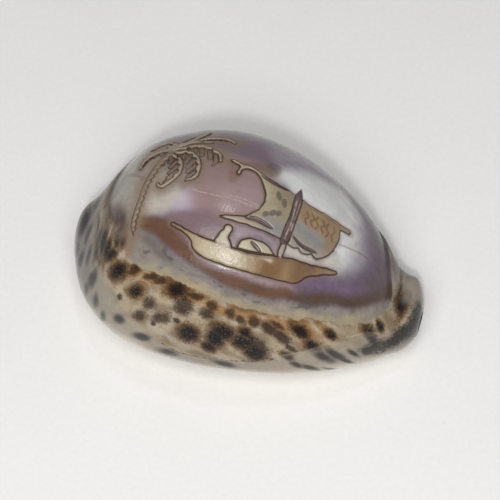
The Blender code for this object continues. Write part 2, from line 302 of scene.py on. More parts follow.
# Spots of the near side and of both ends: x, way round, half length, half width
SPOTS = (
    (-26.0, 17.8, 1.9, 1.5), (-23.2, 15.4, 1.3, 1.5), (-23.5, 22.0, 2.2, 2.1), (-22.3, 35.6, 1.6, 2.0),
    (-18.4, 27.0, 1.9, 1.9), (-16.6, 41.0, 2.3, 1.6), (-9.6, 25.9, 2.5, 2.2), (-10.8, 45.8, 2.4, 1.7),
    (-5.7, 36.8, 2.4, 2.7), (1.6, 33.2, 2.6, 2.4), (0.0, 36.2, 2.2, 2.6), (-1.3, 39.4, 1.5, 1.8),
    (1.9, 45.0, 2.6, 1.6), (5.4, 34.6, 2.2, 2.5), (8.7, 36.8, 2.5, 2.4), (6.2, 31.4, 1.6, 1.6),
    (17.3, 24.0, 2.1, 1.6), (20.3, 25.9, 2.1, 1.7), (15.5, 33.1, 1.6, 1.4), (17.3, 34.9, 1.6, 1.4),
    (23.4, 20.4, 1.4, 1.2), (22.5, 27.8, 2.6, 1.9), (25.0, 25.2, 2.4, 1.6), (20.1, 34.5, 2.3, 1.4),
    (27.0, 25.9, 1.8, 1.2), (24.0, 33.0, 1.8, 1.0), (28.4, 21.6, 1.4, 0.9), (31.0, 13.5, 1.9, 1.8),
    (32.7, 9.7, 0.9, 1.1), (35.8, 1.4, 1.5, 3.6), (36.4, -0.8, 0.9, 2.2), (-28.9, 13.2, 0.9, 3.4),
    (-27.2, 16.4, 0.9, 2.4), (-30.6, 13.0, 0.8, 4.2), (-24.9, 14.6, 0.8, 2.6), (-36.8, 3.2, 1.6, 4.0),
    (-34.5, 7.0, 0.8, 2.6), (-32.8, 13.4, 0.7, 2.4), (-35.4, 12.8, 1.1, 2.2), (-30.3, 21.2, 1.5, 2.5),
    (-29.2, 28.8, 1.2, 2.8), (-27.0, 35.0, 1.1, 2.2), (-32.4, 22.8, 1.0, 2.2), (-37.6, -6.0, 1.0, 4.0),
    (-35.2, -9.0, 1.1, 3.2), (34.6, -16.0, 0.9, 2.6), (-38.2, -1.0, 0.7, 3.0), (-37.4, 10.0, 1.0, 2.4),
    (-34.9, -1.0, 0.8, 3.4),
)
HIDDEN_SPOTS = 46
# Red-brown spots on the near side, most of them under the ledge, and golden stains there, in the same form
RUST_SPOTS = (
    (-22.4, 12.3, 0.8, 1.1), (-19.5, 22.0, 1.1, 1.2), (-15.3, 23.4, 1.8, 0.8), (-13.4, 24.2, 1.5, 0.9),
    (-5.2, 26.3, 1.5, 0.8), (-1.3, 27.4, 1.3, 1.0), (-8.6, 33.6, 0.8, 0.7), (-13.8, 35.6, 0.6, 0.6),
    (-22.3, 28.6, 0.7, 0.9), (5.0, 28.4, 1.3, 1.0), (-17.1, 33.3, 1.5, 1.7), (-11.9, 33.6, 1.9, 1.6),
    (-7.4, 29.4, 2.3, 1.9), (-2.4, 29.6, 1.8, 1.3), (7.8, 27.4, 1.5, 1.5), (2.6, 28.0, 1.3, 1.4),
    (9.0, 33.6, 2.6, 2.0), (-15.2, 29.6, 1.6, 1.8), (16.0, 29.8, 1.2, 0.9), (12.4, 25.6, 1.6, 0.8),
    (10.8, 27.3, 2.0, 1.6), (13.6, 28.0, 1.9, 1.7), (-25.6, 13.0, 0.7, 1.5),
)
GOLD_SPOTS = (
    (-14.6, 23.9, 3.8, 1.9), (-9.6, 25.4, 3.6, 2.6), (-5.2, 26.7, 3.2, 1.6), (-1.2, 27.6, 3.0, 1.6),
    (6.8, 26.8, 5.0, 2.0), (12.6, 25.2, 3.8, 2.0), (17.0, 22.6, 3.4, 2.2), (22.0, 20.2, 2.4, 1.0),
    (-19.5, 22.4, 2.2, 1.8), (-22.0, 16.5, 1.6, 2.8), (-21.2, 12.0, 0.9, 2.0), (18.6, 22.6, 4.2, 1.7),
    (2.4, 27.8, 7.0, 1.6),
)

# Colours, as linear values: the crown's layers, the rim, its spots, and the picture
CREAM = (0.425, 0.377, 0.330)
GREY_WHITE = (0.340, 0.310, 0.266)
# Painted shadow that the fold casts on the crown at the left end
OLIVE_FOLD_SHADOW = (0.150, 0.130, 0.102)
WHITE = (0.610, 0.605, 0.590)
LAVENDER = (0.385, 0.330, 0.385)
MAUVE = (0.265, 0.183, 0.178)
PINK = (0.310, 0.215, 0.225)
PURPLE_GREY = (0.205, 0.150, 0.175)
MID_PURPLE = (0.180, 0.120, 0.132)
PALE_MAUVE = (0.300, 0.225, 0.240)
VIOLET = (0.140, 0.095, 0.140)
EDGE_PURPLE = (0.100, 0.072, 0.080)
PATCH_BROWN = (0.075, 0.048, 0.044)
BAND_BROWN = (0.118, 0.060, 0.034)
END_BROWN = (0.082, 0.052, 0.040)
BAND_GREY = (0.188, 0.165, 0.150)
BAND_PALE = (0.270, 0.240, 0.200)
YELLOW_EDGE = (0.320, 0.265, 0.170)
GOLD_STAIN = (0.250, 0.160, 0.080)
SLATE = (0.130, 0.112, 0.102)
DASH_GREY = (0.085, 0.072, 0.072)
FAR_GREY = (0.150, 0.118, 0.150)
STRIP = (0.300, 0.258, 0.215)
RIM_CREAM = (0.370, 0.300, 0.205)
RIM_TAN = (0.215, 0.158, 0.100)
RIM_PALE = (0.420, 0.370, 0.290)
LOBE_GREY = (0.205, 0.182, 0.160)
MARGIN_GREY = (0.300, 0.262, 0.205)
BASE_WHITE = (0.600, 0.540, 0.450)
HALO = (0.150, 0.078, 0.028)
GOLD = (0.270, 0.140, 0.045)
SPOT_DARK = (0.0085, 0.0065, 0.0062)
SPOT_VEILED = (0.026, 0.024, 0.026)
BAND_DARK = (0.026, 0.023, 0.022)
RUST = (0.026, 0.013, 0.009)
LINE_BROWN = (0.040, 0.024, 0.016)
LINE_PALE = (0.400, 0.320, 0.260)
DENT_GREY = (0.105, 0.098, 0.085)
HAZE_BROWN = (0.175, 0.115, 0.075)
PALM_HAZE = (0.235, 0.172, 0.122)
RIB_CREAM = (0.310, 0.255, 0.190)
TRUNK_TAN = (0.225, 0.165, 0.120)
LEAF_BROWN = (0.195, 0.132, 0.100)
FIGURE_CREAM = (0.370, 0.325, 0.235)
SAIL_CREAM = (0.330, 0.280, 0.190)
SAIL_OLIVE = (0.240, 0.195, 0.120)
SAIL_BLUE = (0.200, 0.205, 0.200)
SAIL_TAN = (0.275, 0.190, 0.115)
SAIL_GREY = (0.270, 0.240, 0.205)
MAST_MAUVE = (0.130, 0.092, 0.088)
MAST_LIGHT = (0.330, 0.270, 0.230)
WAVE_BROWN = (0.150, 0.082, 0.040)
SLOT_BROWN = (0.095, 0.062, 0.060)
INSIDE = (0.50, 0.42, 0.44)
# The hull from bow to stern: place on X and colour
HULL_TONES = (
    (-13.0, (0.220, 0.150, 0.085)),
    (-9.0, (0.300, 0.220, 0.125)),
    (-5.0, (0.330, 0.268, 0.165)),
    (2.0, (0.350, 0.290, 0.185)),
    (5.0, (0.270, 0.195, 0.110)),
    (7.5, (0.165, 0.092, 0.040)),
    (10.5, (0.175, 0.100, 0.048)),
    (12.2, (0.225, 0.145, 0.078)),
    (14.5, (0.160, 0.092, 0.048)),
    (18.0, (0.180, 0.112, 0.065)),
    (22.0, (0.260, 0.180, 0.110)),
)

# Layers of the ground crown in the order of laying: colour, outline, softness in mm and strength
CROWN_LAYERS = (
    (GREY_WHITE, ((-36, -9), (-30, -13), (-26, -14), (-21, -11), (-20, -4), (-21.5, 4), (-23.0, 12),
        (-24, 20), (-30, 18), (-35, 6)), 2.2, 1.0),
    # painted shadow that the fold casts at the left end
    (OLIVE_FOLD_SHADOW, ((-34, -8), (-30.5, -7), (-29.0, -3.5), (-29.4, 0.5), (-30.2, 3), (-34, 3)), 1.5, 0.95),
    (CREAM, ((-27, -6), (-24, -9), (-21, -6), (-21.5, 2), (-23, 4), (-26, 2)), 2.0, 0.75),
    (CREAM, ((-23.0, -2), (-19.2, -1), (-14.9, 1.5), (-10.5, 4.0), (-11, 7.4), (-15.7, 9.2), (-19.0, 9.6),
        (-22.6, 9.0)), 1.8, 1.0),
    (LAVENDER, ((-17, -3), (-12, -2), (-9, 3), (-8, 8), (-12, 9.6), (-15, 8), (-13.5, 4)), 2.2, 0.9),
    (MAUVE, ((-13.5, -2), (-13.0, -6), (-10, -10), (-4, -10), (2, -8), (5, -4), (6, 1.5), (5, 6),
        (0, 8.5), (-5, 9), (-9.5, 8), (-11.5, 4)), 2.0, 1.0),
    (PINK, ((-4, 1.5), (0, -1.5), (3.4, -0.6), (4.0, 1.6), (2.5, 4.2), (-1.5, 5.4), (-5, 5.0)), 1.8, 0.6),
    (PURPLE_GREY, ((-22, -12), (-15.2, -12.5), (-9.2, -9.5), (-3.4, -8.6), (3, -8.4), (8, -13), (12, -19),
        (8, -27), (-22, -27)), 2.0, 0.95),
    (LAVENDER, ((3, -11), (8, -13.5), (14, -17), (20, -18), (22, -23), (8, -23), (1, -17)), 2.6, 0.65),
    (WHITE, ((4.5, -8.4), (8.7, -12.0), (14, -14.8), (19, -16.0), (22.5, -12.5), (24.8, -7), (25.6, -1),
        (25.2, 3.0), (23.0, 6.2), (19.0, 8.2), (14, 9.0), (10.5, 8.8), (11, 5), (11.5, 0), (9, -4),
        (5.5, -6.2)), 2.9, 1.0),
    (CREAM, ((11, 5.5), (16, 6.6), (21, 3.4), (22.5, 5.0), (20.5, 8.3), (15, 9.4),
        (10.4, 9.8)), 1.2, 0.65),
    (VIOLET, ((13.5, 16.5), (16.8, 13.2), (19.8, 10.6), (22.9, 8.2), (25.8, 5.6), (27.6, 2.6),
        (27.8, 0.0), (27.0, -3), (25.2, -8), (22.4, -12.5), (19.2, -16.5), (21, -24), (34, -24), (38, 0),
        (36, 8), (30, 12), (22, 17.5)), 2.0, 1.0),
    (EDGE_PURPLE, ((28.0, 5.0), (28.8, 1.0), (28.3, -3), (26.6, -8), (23.8, -12.0), (20.8, -15.5),
        (22, -24), (34, -24), (38, 0), (34, 7)), 1.6, 0.9),
    (PALE_MAUVE, ((-3, 8.6), (1.6, 8.3), (6.0, 8.9), (10.6, 9.7), (12.4, 10.4), (9, 11.8), (8, 10.2),
        (4, 9.8), (0.5, 11.6), (-0.8, 9.4)), 0.7, 0.8),
    (MID_PURPLE, ((-15.5, 9.8), (-11.3, 8.2), (-7.0, 7.6), (-2.6, 8.4), (-1.0, 9.6), (-0.2, 12.6),
        (1.4, 12.8), (2.0, 14.0), (14, 15), (15, 18), (5, 19.3), (-2, 19.1), (-6, 17.8), (-9, 15.4),
        (-13, 12.4)), 1.3, 0.95),
    (PALE_MAUVE, ((-1, 18.6), (4, 18.0), (8.5, 17.1), (12.5, 15.8), (14.5, 16.4), (11, 18.4), (5, 19.5),
        (0, 19.6)), 0.7, 0.8),
    (BAND_BROWN, ((-22.6, 9.2), (-18.7, 10.0), (-16.3, 10.5), (-13.8, 11.7), (-11.2, 13.3), (-8.6, 15.3),
        (-5.8, 17.7), (-2.3, 19.0), (1.4, 19.2), (5.3, 19.1), (9.0, 18.3), (13.2, 16.8), (16.0, 17.6),
        (8.0, 21.8), (0.4, 22.0), (-5.3, 20.6), (-9.6, 18.9), (-13.8, 16.5), (-17.5, 14.4), (-20.9, 12.7),
        (-23.0, 12.0)), 1.0, 0.95),
    (END_BROWN, ((13.2, 18.2), (18, 15.0), (22.5, 12.0), (27, 8.2), (30.5, 3.8), (32.8, -1), (35, 1),
        (34.4, 4), (29.6, 9.0), (22.1, 15.6), (16, 19.0)), 0.9, 1.0),
    (BAND_GREY, ((-21.9, 12.5), (-17.5, 14.8), (-13.8, 16.9), (-9.6, 19.1), (-5.3, 20.9), (0.4, 22.0),
        (8.0, 21.6), (14.1, 19.3), (22.1, 15.3), (29.6, 8.6), (33.9, 2.4), (38, 5), (32, 16), (20, 24),
        (10, 29), (0, 31), (-10, 29), (-19, 24), (-21.4, 18)), 0.7, 1.0),
    (SLATE, ((-21.9, 12.8), (-17.5, 15.2), (-13.6, 17.4), (-11.5, 19.6), (-14.5, 20.6), (-18.5, 18.6),
        (-21.6, 16.2)), 1.4, 0.7),
    (BAND_PALE, ((-20.9, 15.0), (-17.5, 17.4), (-13.8, 19.4), (-9.6, 21.4), (-5.3, 22.8), (0.4, 23.8),
        (8.0, 23.0), (14.1, 20.4), (22.1, 16.0), (29.6, 9.2), (33.9, 3.0), (38, 5), (32, 16), (20, 24),
        (10, 29), (0, 31), (-10, 29), (-19, 24)), 0.9, 0.65),
    (GOLD_STAIN, ((-8.0, 23.6), (-4.0, 24.4), (0.5, 25.2), (4.0, 25.4), (4.0, 28), (-9, 28)), 0.7, 0.65),
    (PATCH_BROWN, ((-31.5, 3.3), (-28.5, 4.8), (-25.9, 6.6), (-24.0, 9.8), (-23.6, 13.5), (-25.4, 13.6),
        (-27.8, 11.4), (-30.0, 8.0)), 1.5, 0.95),
    (GOLD_STAIN, ((-26.5, 14.5), (-24.2, 13.4), (-22.6, 14.8), (-21.6, 17.5), (-20.8, 20.0),
        (-22.5, 21.5), (-25, 19)), 1.2, 0.55),
    (PATCH_BROWN, ((-24.2, 11.4), (-23.5, 11.2), (-23.0, 12.2), (-23.3, 13.2), (-24.0, 13.0)), 0.5, 0.8),
    (RUST, ((-24.4, 13.8), (-23.6, 13.2), (-22.9, 14.4), (-23.0, 16.2), (-23.9, 16.6),
        (-24.4, 15.4)), 0.7, 0.7),
    (HAZE_BROWN, ((-12.0, -8.2), (-7.4, -7.3), (-3.3, -6.8), (-1.0, -7.9), (2.0, -8.4), (5.3, -7.5),
        (4.0, -5.6), (-0.8, -5.0), (-3.4, -4.6), (-5.4, -3.6), (-7.8, -4.6), (-11.4, -5.2)), 0.9, 0.6),
    (HAZE_BROWN, ((-4.4, -4.4), (-2.6, -3.6), (-2.2, -1.0), (-3.6, -0.2), (-4.6, -2.0)), 0.6, 0.55),
    (PATCH_BROWN, ((2.0, -9.4), (4.0, -10.0), (5.6, -9.0), (5.4, -7.6), (3.4, -7.2),
        (1.8, -8.0)), 0.9, 0.55),
)

# What the material reads from the mesh
FIELDS = (
    "ledge", "edge", "margin", "ship", "palm", "cut", "dent", "leaf", "leaf_share", "crease", "spots",
    "rust", "gold", "band", "beak", "dashed", "hollow", *LINE_FIELDS,
)
# The material's noises: scale, detail, roughness, stretch along X, Y and Z, and smear
NOISES = {
    "cloud": (70, 3, 0.55),
    "lumps": (260, 3, 0.55),
    "grain": (900, 3, 0.6),
    "fine": (2400, 2, 0.6),
    "along": (90, 4, 0.65, (1, 5, 5), 0.3),
    "across": (1500, 2, 0.55, (1, 0.14, 0.14)),
    "lengthwise": (700, 3, 0.6, (0.22, 1, 1)),
    "dashes": (620, 2, 0.5, (0.5, 1, 1)),
}
SHELL_IOR = 1.53

# The photo's camera: its focal length and centre in pixels of a frame with this side, where it looks and
# how far from there it stands in mm, its direction in degrees, and the sensor's side in mm
PHOTO_SIDE = 500
PHOTO_FOCAL = 2213.58
PHOTO_CENTRE = (247.87, 247.09)
LOOK_AT = (0.0, 0.0, 19.51)
CAMERA_DISTANCE = 487.8
CAMERA_AZIMUTH = 15.83
CAMERA_ELEVATION = 57.0
SENSOR = 36.0

# The studio, in metres: the floor, the surround, and the lights with their place, size and power
FLOOR_REACH = 3.0
FLOOR_TONES = ((0.80, 0.79, 0.77), (0.83, 0.82, 0.80))
SURROUND = (0.92, 0.95, 1.0)
SURROUND_STRENGTH = 0.17
LIGHT_TARGET = (0.0, 0.0, 0.02)
LIGHTS = (
    ("key", (0.10, -0.46, 0.60), 0.05, 1.6),
    ("top", (0.02, 0.11, 0.78), 0.08, 0.35),
    ("fill", (0.06, -0.40, 0.65), 0.55, 4.5),
)


def spline(places, values):
    """A natural cubic spline through the values, as a function of the place."""
    places = np.array(places, float)
    values = np.array(values, float)
    steps = np.diff(places)
    slopes = np.diff(values) / steps
    matrix = np.eye(len(places))
    bends = np.zeros(len(places))
    for i in range(1, len(places) - 1):
        matrix[i, i - 1 : i + 2] = (steps[i - 1], 2 * (steps[i - 1] + steps[i]), steps[i])
        bends[i] = 6 * (slopes[i] - slopes[i - 1])
    second = np.linalg.solve(matrix, bends)

    def value(place):
        i = np.clip(np.searchsorted(places, place) - 1, 0, len(steps) - 1)
        ahead = places[i + 1] - place
        behind = place - places[i]
        curve = (second[i] * ahead**3 + second[i + 1] * behind**3) / (6 * steps[i])
        start = (values[i] / steps[i] - second[i] * steps[i] / 6) * ahead
        end = (values[i + 1] / steps[i] - second[i + 1] * steps[i] / 6) * behind
        return curve + start + end

    return value


def columns(table):
    """One spline for each column of sizes in a table whose first column is the place."""
    rows = np.array(table)
    return [spline(rows[:, 0], rows[:, i]) for i in range(1, rows.shape[1])]


def smooth_step(low, high, value):
    """0 up to low, 1 from high on, and an even curve between."""
    share = np.clip((value - low) / (high - low), 0.0, 1.0)
    return share * share * (3 - 2 * share)


def blend(a, b, share):
    """The value at a share of the way from a to b."""
    return a + (b - a) * share


OUTER_FORM = columns(STATIONS)
APERTURE_FORM = columns(APERTURE)


def oval_height(share, fullness):
    """Height of a full oval of height 1 at a share of its half width."""
    return np.maximum(0.0, 1 - np.abs(share) ** fullness) ** (1 / fullness)


def oval_points(angle, width_left, width_right, rise, drop):
    """Points of the oval whose upper and lower halves differ, at angles from +Y."""
    c, s = np.cos(angle), np.sin(angle)
    fullness = np.where(s >= 0, CROWN_FULLNESS, BASE_FULLNESS)
    reach = (np.abs(c) ** fullness + np.abs(s) ** fullness) ** (-1 / fullness)
    return np.where(c < 0, width_left, width_right) * c * reach, np.where(s >= 0, rise, drop) * s * reach


def groove(x, teeth):
    """How deep the groove beside a tooth is at x, from 0 on a tooth to 1 between two."""
    fade = 1 - smooth_step(TEETH_END - TEETH_FADE, TEETH_END, abs(x))
    return fade * (0.5 - 0.5 * math.cos(2 * math.pi * x / teeth["pitch"]))


def lip_and_base(side, x, teeth, width, level, drop):
    """The rounded lip and the base on one side, from the slot outward. side is 1 at +Y and -1 at -Y."""
    centre, gap, radius, _ = (float(form(x)) for form in APERTURE_FORM)
    cut = groove(x, teeth)
    edge = centre + side * (gap + cut * teeth["lip_cut"])
    lip = radius * (1 - np.cos(np.linspace(0, math.pi / 2, LIP_LINES)))
    run = np.linspace(radius, side * (side * width * BASE_SHARE - edge), BASE_LINES)[1:]
    away = np.concatenate([lip, run])
    y = edge + side * away
    z = np.maximum(level - drop * oval_height(y / width, BASE_FULLNESS), 0.0)
    z += radius - np.sqrt(np.maximum(0.0, radius**2 - np.maximum(0.0, radius - away) ** 2))
    z += cut * teeth["base_cut"] * (1 - smooth_step(0.0, teeth["reach"], away))
    return y, z, edge


def section(x):
    """The outside at x: y, z, way round from the ridge, and height share; then the hollow's y and z."""
    left, right, crown, level, base = (float(form(x)) for form in OUTER_FORM)
    rise, drop = crown - level, level - base
    y_in, z_in, edge_in = lip_and_base(1, x, INNER_TEETH, right, level, drop)
    y_out, z_out, edge_out = lip_and_base(-1, x, OUTER_TEETH, left, level, drop)
    corner = math.atan2(oval_height(BASE_SHARE, BASE_FULLNESS), BASE_SHARE)
    angle = np.linspace(-corner, math.pi + corner, SECTION_POINTS)[1:-1]
    y, z = oval_points(angle, left, right, rise, drop)
    z = np.maximum(level + z, 0.0)
    way = np.concatenate([[0], np.cumsum(np.hypot(np.diff(y), np.diff(z)))])
    way -= np.interp(math.pi / 2, angle, way)
    far = max(FIELD_FAR, 0.6 * way[0])
    near = min(FIELD_NEAR, 0.45 * way[-1])
    ledge = min(LEDGE_NEAR, 0.65 * way[-1])
    picked = np.concatenate([
        np.linspace(way[0], far, FAR_LINES + 1)[:-1],
        np.linspace(far, near, FIELD_LINES + 1)[:-1],
        np.linspace(near, ledge, LEDGE_LINES + 1)[:-1],
        np.linspace(ledge, way[-1], NEAR_LINES),
    ])
    ys = np.concatenate([y_in, np.interp(picked, way, y), y_out[::-1]])
    zs = np.concatenate([z_in, np.interp(picked, way, z), z_out[::-1]])
    height = np.sin(np.interp(picked, way, angle))
    rest = len(y_in)
    shares = np.concatenate([np.full(rest, -1.0), height, np.full(rest, -1.0)])
    total = np.concatenate([[0], np.cumsum(np.hypot(np.diff(ys), np.diff(zs)))])
    total += picked[0] - total[rest]
    return ys, zs, total, shares, hollow(x, edge_in, edge_out, (left, right, crown, level, max(base, 0.0)))


def hollow(x, edge_in, edge_out, sizes):
    """The wall of the hollow at x, from the outer lip back to the inner lip."""
    left, right, crown, level, base = sizes
    centre, gap, radius, depth = (float(form(x)) for form in APERTURE_FORM)
    full = 1 - smooth_step(HOLLOW_FULL, HOLLOW_END, abs(x))
    pinch = smooth_step(PINCH_START, HALF_LENGTH, abs(x))
    canal = gap + CANAL_GAP - PINCH_GAP * pinch
    middle = centre * (1 - full)
    wide_right = canal + full * (right - SIDE_WALL - canal)
    wide_left = canal + full * (left - SIDE_WALL - canal)
    height = CANAL_HEIGHT * (1 - PINCH_HEIGHT * pinch)
    roof = base + height + full * (crown - CROWN_WALL - base - height)
    floor = base + depth
    widest = full * max(level + 1.5, floor + 2.0) + (1 - full) * floor * 0.8
    low = max(widest - floor, 0.4)
    starts = []
    for edge, width in ((edge_in, wide_right), (edge_out, wide_left)):
        share = min(abs(edge - middle) / width, 0.97)
        starts.append(math.atan2(oval_height(share, BASE_FULLNESS), share))
    angle = np.linspace(-starts[0], math.pi + starts[1], HOLLOW_LINES)
    y, z = oval_points(angle, wide_left, wide_right, roof - widest, low)
    y, z = middle + y, widest + z
    foot = base + radius
    steps = np.linspace(0, 1, 5)[1:-1]
    y = np.concatenate([edge_in + (y[0] - edge_in) * steps, y, edge_out + (y[-1] - edge_out) * steps[::-1]])
    z = np.concatenate([foot + (z[0] - foot) * steps, z, foot + (z[-1] - foot) * steps[::-1]])
    return y[::-1], z[::-1]


def x_lines():
    """The places of the sections on X, closer together where the picture is and at both ends."""
    lines = [np.linspace(a, b, round((b - a) / step) + 1)[:-1] for a, b, step in X_STRETCHES]
    return np.concatenate([*lines, [X_STRETCHES[-1][1]]])


def curve(points, closed=True, samples=5):
    """A smooth line through the points. A point given twice is a corner."""
    p = np.array(points, float)
    count = len(p) if closed else len(p) - 1
    if closed:
        p = np.concatenate([p[-1:], p, p[:2]])
    else:
        p = np.concatenate([2 * p[:1] - p[1:2], p, 2 * p[-1:] - p[-2:-1]])
    t = np.linspace(0, 1, samples, endpoint=False)[:, None]
    parts = []
    for i in range(count):
        a, b, c, d = p[i : i + 4]
        if np.allclose(b, c):
            continue
        before = c - a if not np.allclose(a, b) else c - b
        after = d - b if not np.allclose(c, d) else c - b
        start, end = before / 2, after / 2
        parts.append((2 * t**3 - 3 * t**2 + 1) * b + (t**3 - 2 * t**2 + t) * start
                     + (3 * t**2 - 2 * t**3) * c + (t**3 - t**2) * end)
    line = np.concatenate(parts)
    return line if closed else np.concatenate([line, p[-2:-1]])


def to_line(x, way, line):
    """Distance to an open line, how far along it, the side (1 on the right as seen), and its length."""
    best = np.full(x.shape, 1e9)
    along = np.zeros(x.shape)
    side = np.ones(x.shape)
    done = 0.0
    for a, b in zip(line, line[1:]):
        step = b - a
        length = math.hypot(*step)
        if length < 1e-6:
            continue
        share = np.clip(((x - a[0]) * step[0] + (way - a[1]) * step[1]) / length**2, 0, 1)
        dx, dw = x - a[0] - share * step[0], way - a[1] - share * step[1]
        distance = np.hypot(dx, dw)
        nearer = distance < best
        best = np.where(nearer, distance, best)
        along = np.where(nearer, done + share * length, along)
        side = np.where(nearer, np.sign(step[0] * dw - step[1] * dx), side)
        done += length
    return best, along, side, done


def inside(x, way, outline):
    """Signed distance to a closed outline, positive inside it."""
    line = np.concatenate([outline, outline[:1]])
    distance = to_line(x, way, line)[0]
    within = np.zeros(x.shape, bool)
    for a, b in zip(line, line[1:]):
        crosses = (a[1] > way) != (b[1] > way)
        place = a[0] + (way - a[1]) * (b[0] - a[0]) / np.where(b[1] == a[1], 1e-9, b[1] - a[1])
        within ^= crosses & (x < place)
    return np.where(within, distance, -distance)


def ripple(x, way, size, seed):
    """Smooth unevenness of about 1, whose lumps are about size across."""
    rng = np.random.default_rng(seed)
    total = np.zeros(x.shape)
    for _ in range(9):
        turn, phase = rng.uniform(0, 2 * math.pi, 2)
        wave = 2 * math.pi / (size * rng.uniform(1.2, 3.2))
        total += np.sin((x * math.cos(turn) + way * math.sin(turn)) * wave + phase)
    return total / 3.0


def lens(x, way, points, half_width):
    """Signed distance to a line that is widest in the middle and pointed at its ends."""
    distance, along, _, length = to_line(x, way, curve(points, closed=False))
    share = np.clip(along / length, 0, 1)
    return half_width * np.sqrt(np.maximum(4 * share * (1 - share), 0.02)) - distance


def rib(x, way, points, widths, web):
    """Signed distance to a palm rib that tapers, with a web on its inner side."""
    distance, along, side, length = to_line(x, way, curve(points, closed=False))
    share = np.clip(along / length, 0, 1)
    half = np.interp(share, (0.0, 0.5, 1.0), widths)
    return half + np.where(side > 0, web * np.sin(math.pi * share) ** 0.5, 0.0) - distance


def leaves(x, way):
    """Signed distance to the gouged leaves, and how far out along its leaf the nearest point is."""
    gouged = np.full(x.shape, NOWHERE)
    outward_share = np.ones(x.shape)
    for start, end, half in LEAVES:
        step_x, step_way = end[0] - start[0], end[1] - start[1]
        share = ((x - start[0]) * step_x + (way - start[1]) * step_way) / (step_x**2 + step_way**2)
        held = np.clip(share, 0, 1)
        distance = np.hypot(x - start[0] - held * step_x, way - start[1] - held * step_way)
        field = half * (1 - 0.25 * held) - distance
        outward_share = np.where(field > gouged, held, outward_share)
        gouged = np.maximum(gouged, field)
    return gouged, outward_share


def trunk(x, way):
    """Signed distance to the palm's trunk, whose right edge is notched like old leaf scars."""
    distance, along, side, length = to_line(x, way, curve(TRUNK, closed=False))
    notch = TRUNK_NOTCH * np.abs(np.sin(math.pi * along / TRUNK_PITCH)) ** 0.6
    half = TRUNK_WIDTH * (1.12 - 0.42 * along / length) + np.where(side < 0, notch, 0.5 * TRUNK_NOTCH)
    return half - TRUNK_NOTCH - distance - 0.9 * smooth_step(*TRUNK_FADE, way)


def highest(x, fields):
    """The largest of several fields at each point."""
    total = np.full(x.shape, NOWHERE)
    for field in fields:
        total = np.maximum(total, field)
    return total


def picture(x, way):
    """Signed distances in mm to the ship, the palm, the dark cuts, the dents and the gouged leaves."""
    outlines = (HULL, FIGURE, CABIN, LEFT_SAIL, RIGHT_SAIL, MAST_FOOT)
    ship = highest(x, (inside(x, way, curve(outline)) for outline in outlines))
    ship += 0.05 * ripple(x, way, 0.9, 12)
    palm = highest(x, (rib(x, way, *row) for row in RIBS))
    (heart_x, heart_way), heart = PALM_HEART
    palm = np.maximum(palm, heart - np.hypot(x - heart_x, way - heart_way) + 0.25 * ripple(x, way, 0.7, 5))
    gouged, outward_share = leaves(x, way)
    palm = np.minimum(palm, -gouged)
    palm = np.maximum(palm, trunk(x, way)) + 0.05 * ripple(x, way, 0.8, 13)
    cut = np.maximum(inside(x, way, curve(MAST)), highest(x, (lens(x, way, *row) for row in CUTS)))
    dent = highest(x, (lens(x, way, *row) for row in DENTS))
    return ship, palm, cut, dent, gouged, outward_share


def picture_fields(x, way):
    """The picture's distances on the whole grid, worked out only where the picture is."""
    near = (np.abs(x) < PICTURE_REACH[0]) & (np.abs(way) < PICTURE_REACH[1])
    fields = [np.full(x.shape, NOWHERE) for _ in range(6)]
    for whole, part in zip(fields, picture(x[near], way[near])):
        whole[near] = part
    return fields


def line_field(x, way, lines):
    """Signed distance to thin lines."""
    return highest(x, (half - to_line(x, way, curve(points, closed=False))[0] for points, half in lines))


def spot_field(x, way, spots):
    """1 in the middle of a spot, 0 at its edge and less outside it."""
    field = np.full(x.shape, -3.0)
    for place, round_way, length, width in spots:
        away = np.hypot((x - place) / length, (way - round_way) / width)
        field = np.maximum(field, 1 - away)
    return field


def band_field(x, way):
    """1 along the dark band at the lower edge of the front end, falling to 0 beside it."""
    distance, along, _, length = to_line(x, way, curve(BAND, closed=False))
    width = BAND_WIDTH * (0.55 + 0.45 * np.clip(along / length, 0, 1))
    return smooth_step(1.0, 0.0, distance / width) * smooth_step(0.0, 4.0, along)


def hidden_spots():
    """Spots for the far side, which the photo doesn't show, in the near side's sizes and spacing."""
    rng = np.random.default_rng(11)
    kept = []
    while len(kept) < HIDDEN_SPOTS:
        x, way = rng.uniform(-33, 34), -rng.uniform(18, 50)
        size = rng.uniform(0.8, 2.3)
        if all(math.hypot(x - a, way - b) > 1.15 * (size + c) for a, b, c, _ in kept):
            kept.append((x, way, size * rng.uniform(0.9, 1.2), size * rng.uniform(0.8, 1.2)))
    return tuple(kept)


def soft_zone(x, way, centre, size):
    """1 in the middle of a soft-edged oval zone, falling to 0 outside it."""
    across = ((x - centre[0]) / size[0]) ** 2 + ((way - centre[1]) / size[1]) ** 2
    return np.exp(-(across**1.5))


def laid(colour, *layers):
    """The colour with tones laid over it in turn, each as strongly as its share says at each point."""
    for tone, share in layers:
        colour = blend(colour, np.array(tone), np.broadcast_to(share, colour.shape[:-1])[..., None])
    return colour


def plain(x, tone):
    """A grid of one colour."""
    return np.broadcast_to(np.array(tone), (*x.shape, 3))


def crown_colour(x, way, ledge):
    """The layers that grinding has laid bare on the crown, and a painted shadow of the fold at the left end.
    """
    streaks = ripple(x * 3.4, way * 0.6, 1.7, 21)
    moved_x = x + 0.5 * ripple(x, way, 6.0, 1)
    moved_way = way + 0.35 * ripple(x, way, 5.0, 2) + 0.07 * streaks
    colour = plain(x, FAR_GREY)
    for tone, outline, soft, strength in CROWN_LAYERS:
        depth = inside(moved_x, moved_way, curve(outline, samples=3))
        colour = laid(colour, (tone, strength * smooth_step(-soft, soft, depth)))
    near = smooth_step(8.0, 14.0, way) * smooth_step(-21.0, -16.0, x)
    edge = smooth_step(2.2, 0.4, ledge + 0.4 * ripple(x, way, 1.6, 3) + 0.15 * streaks)
    return laid(colour, (YELLOW_EDGE, 0.85 * near * edge))


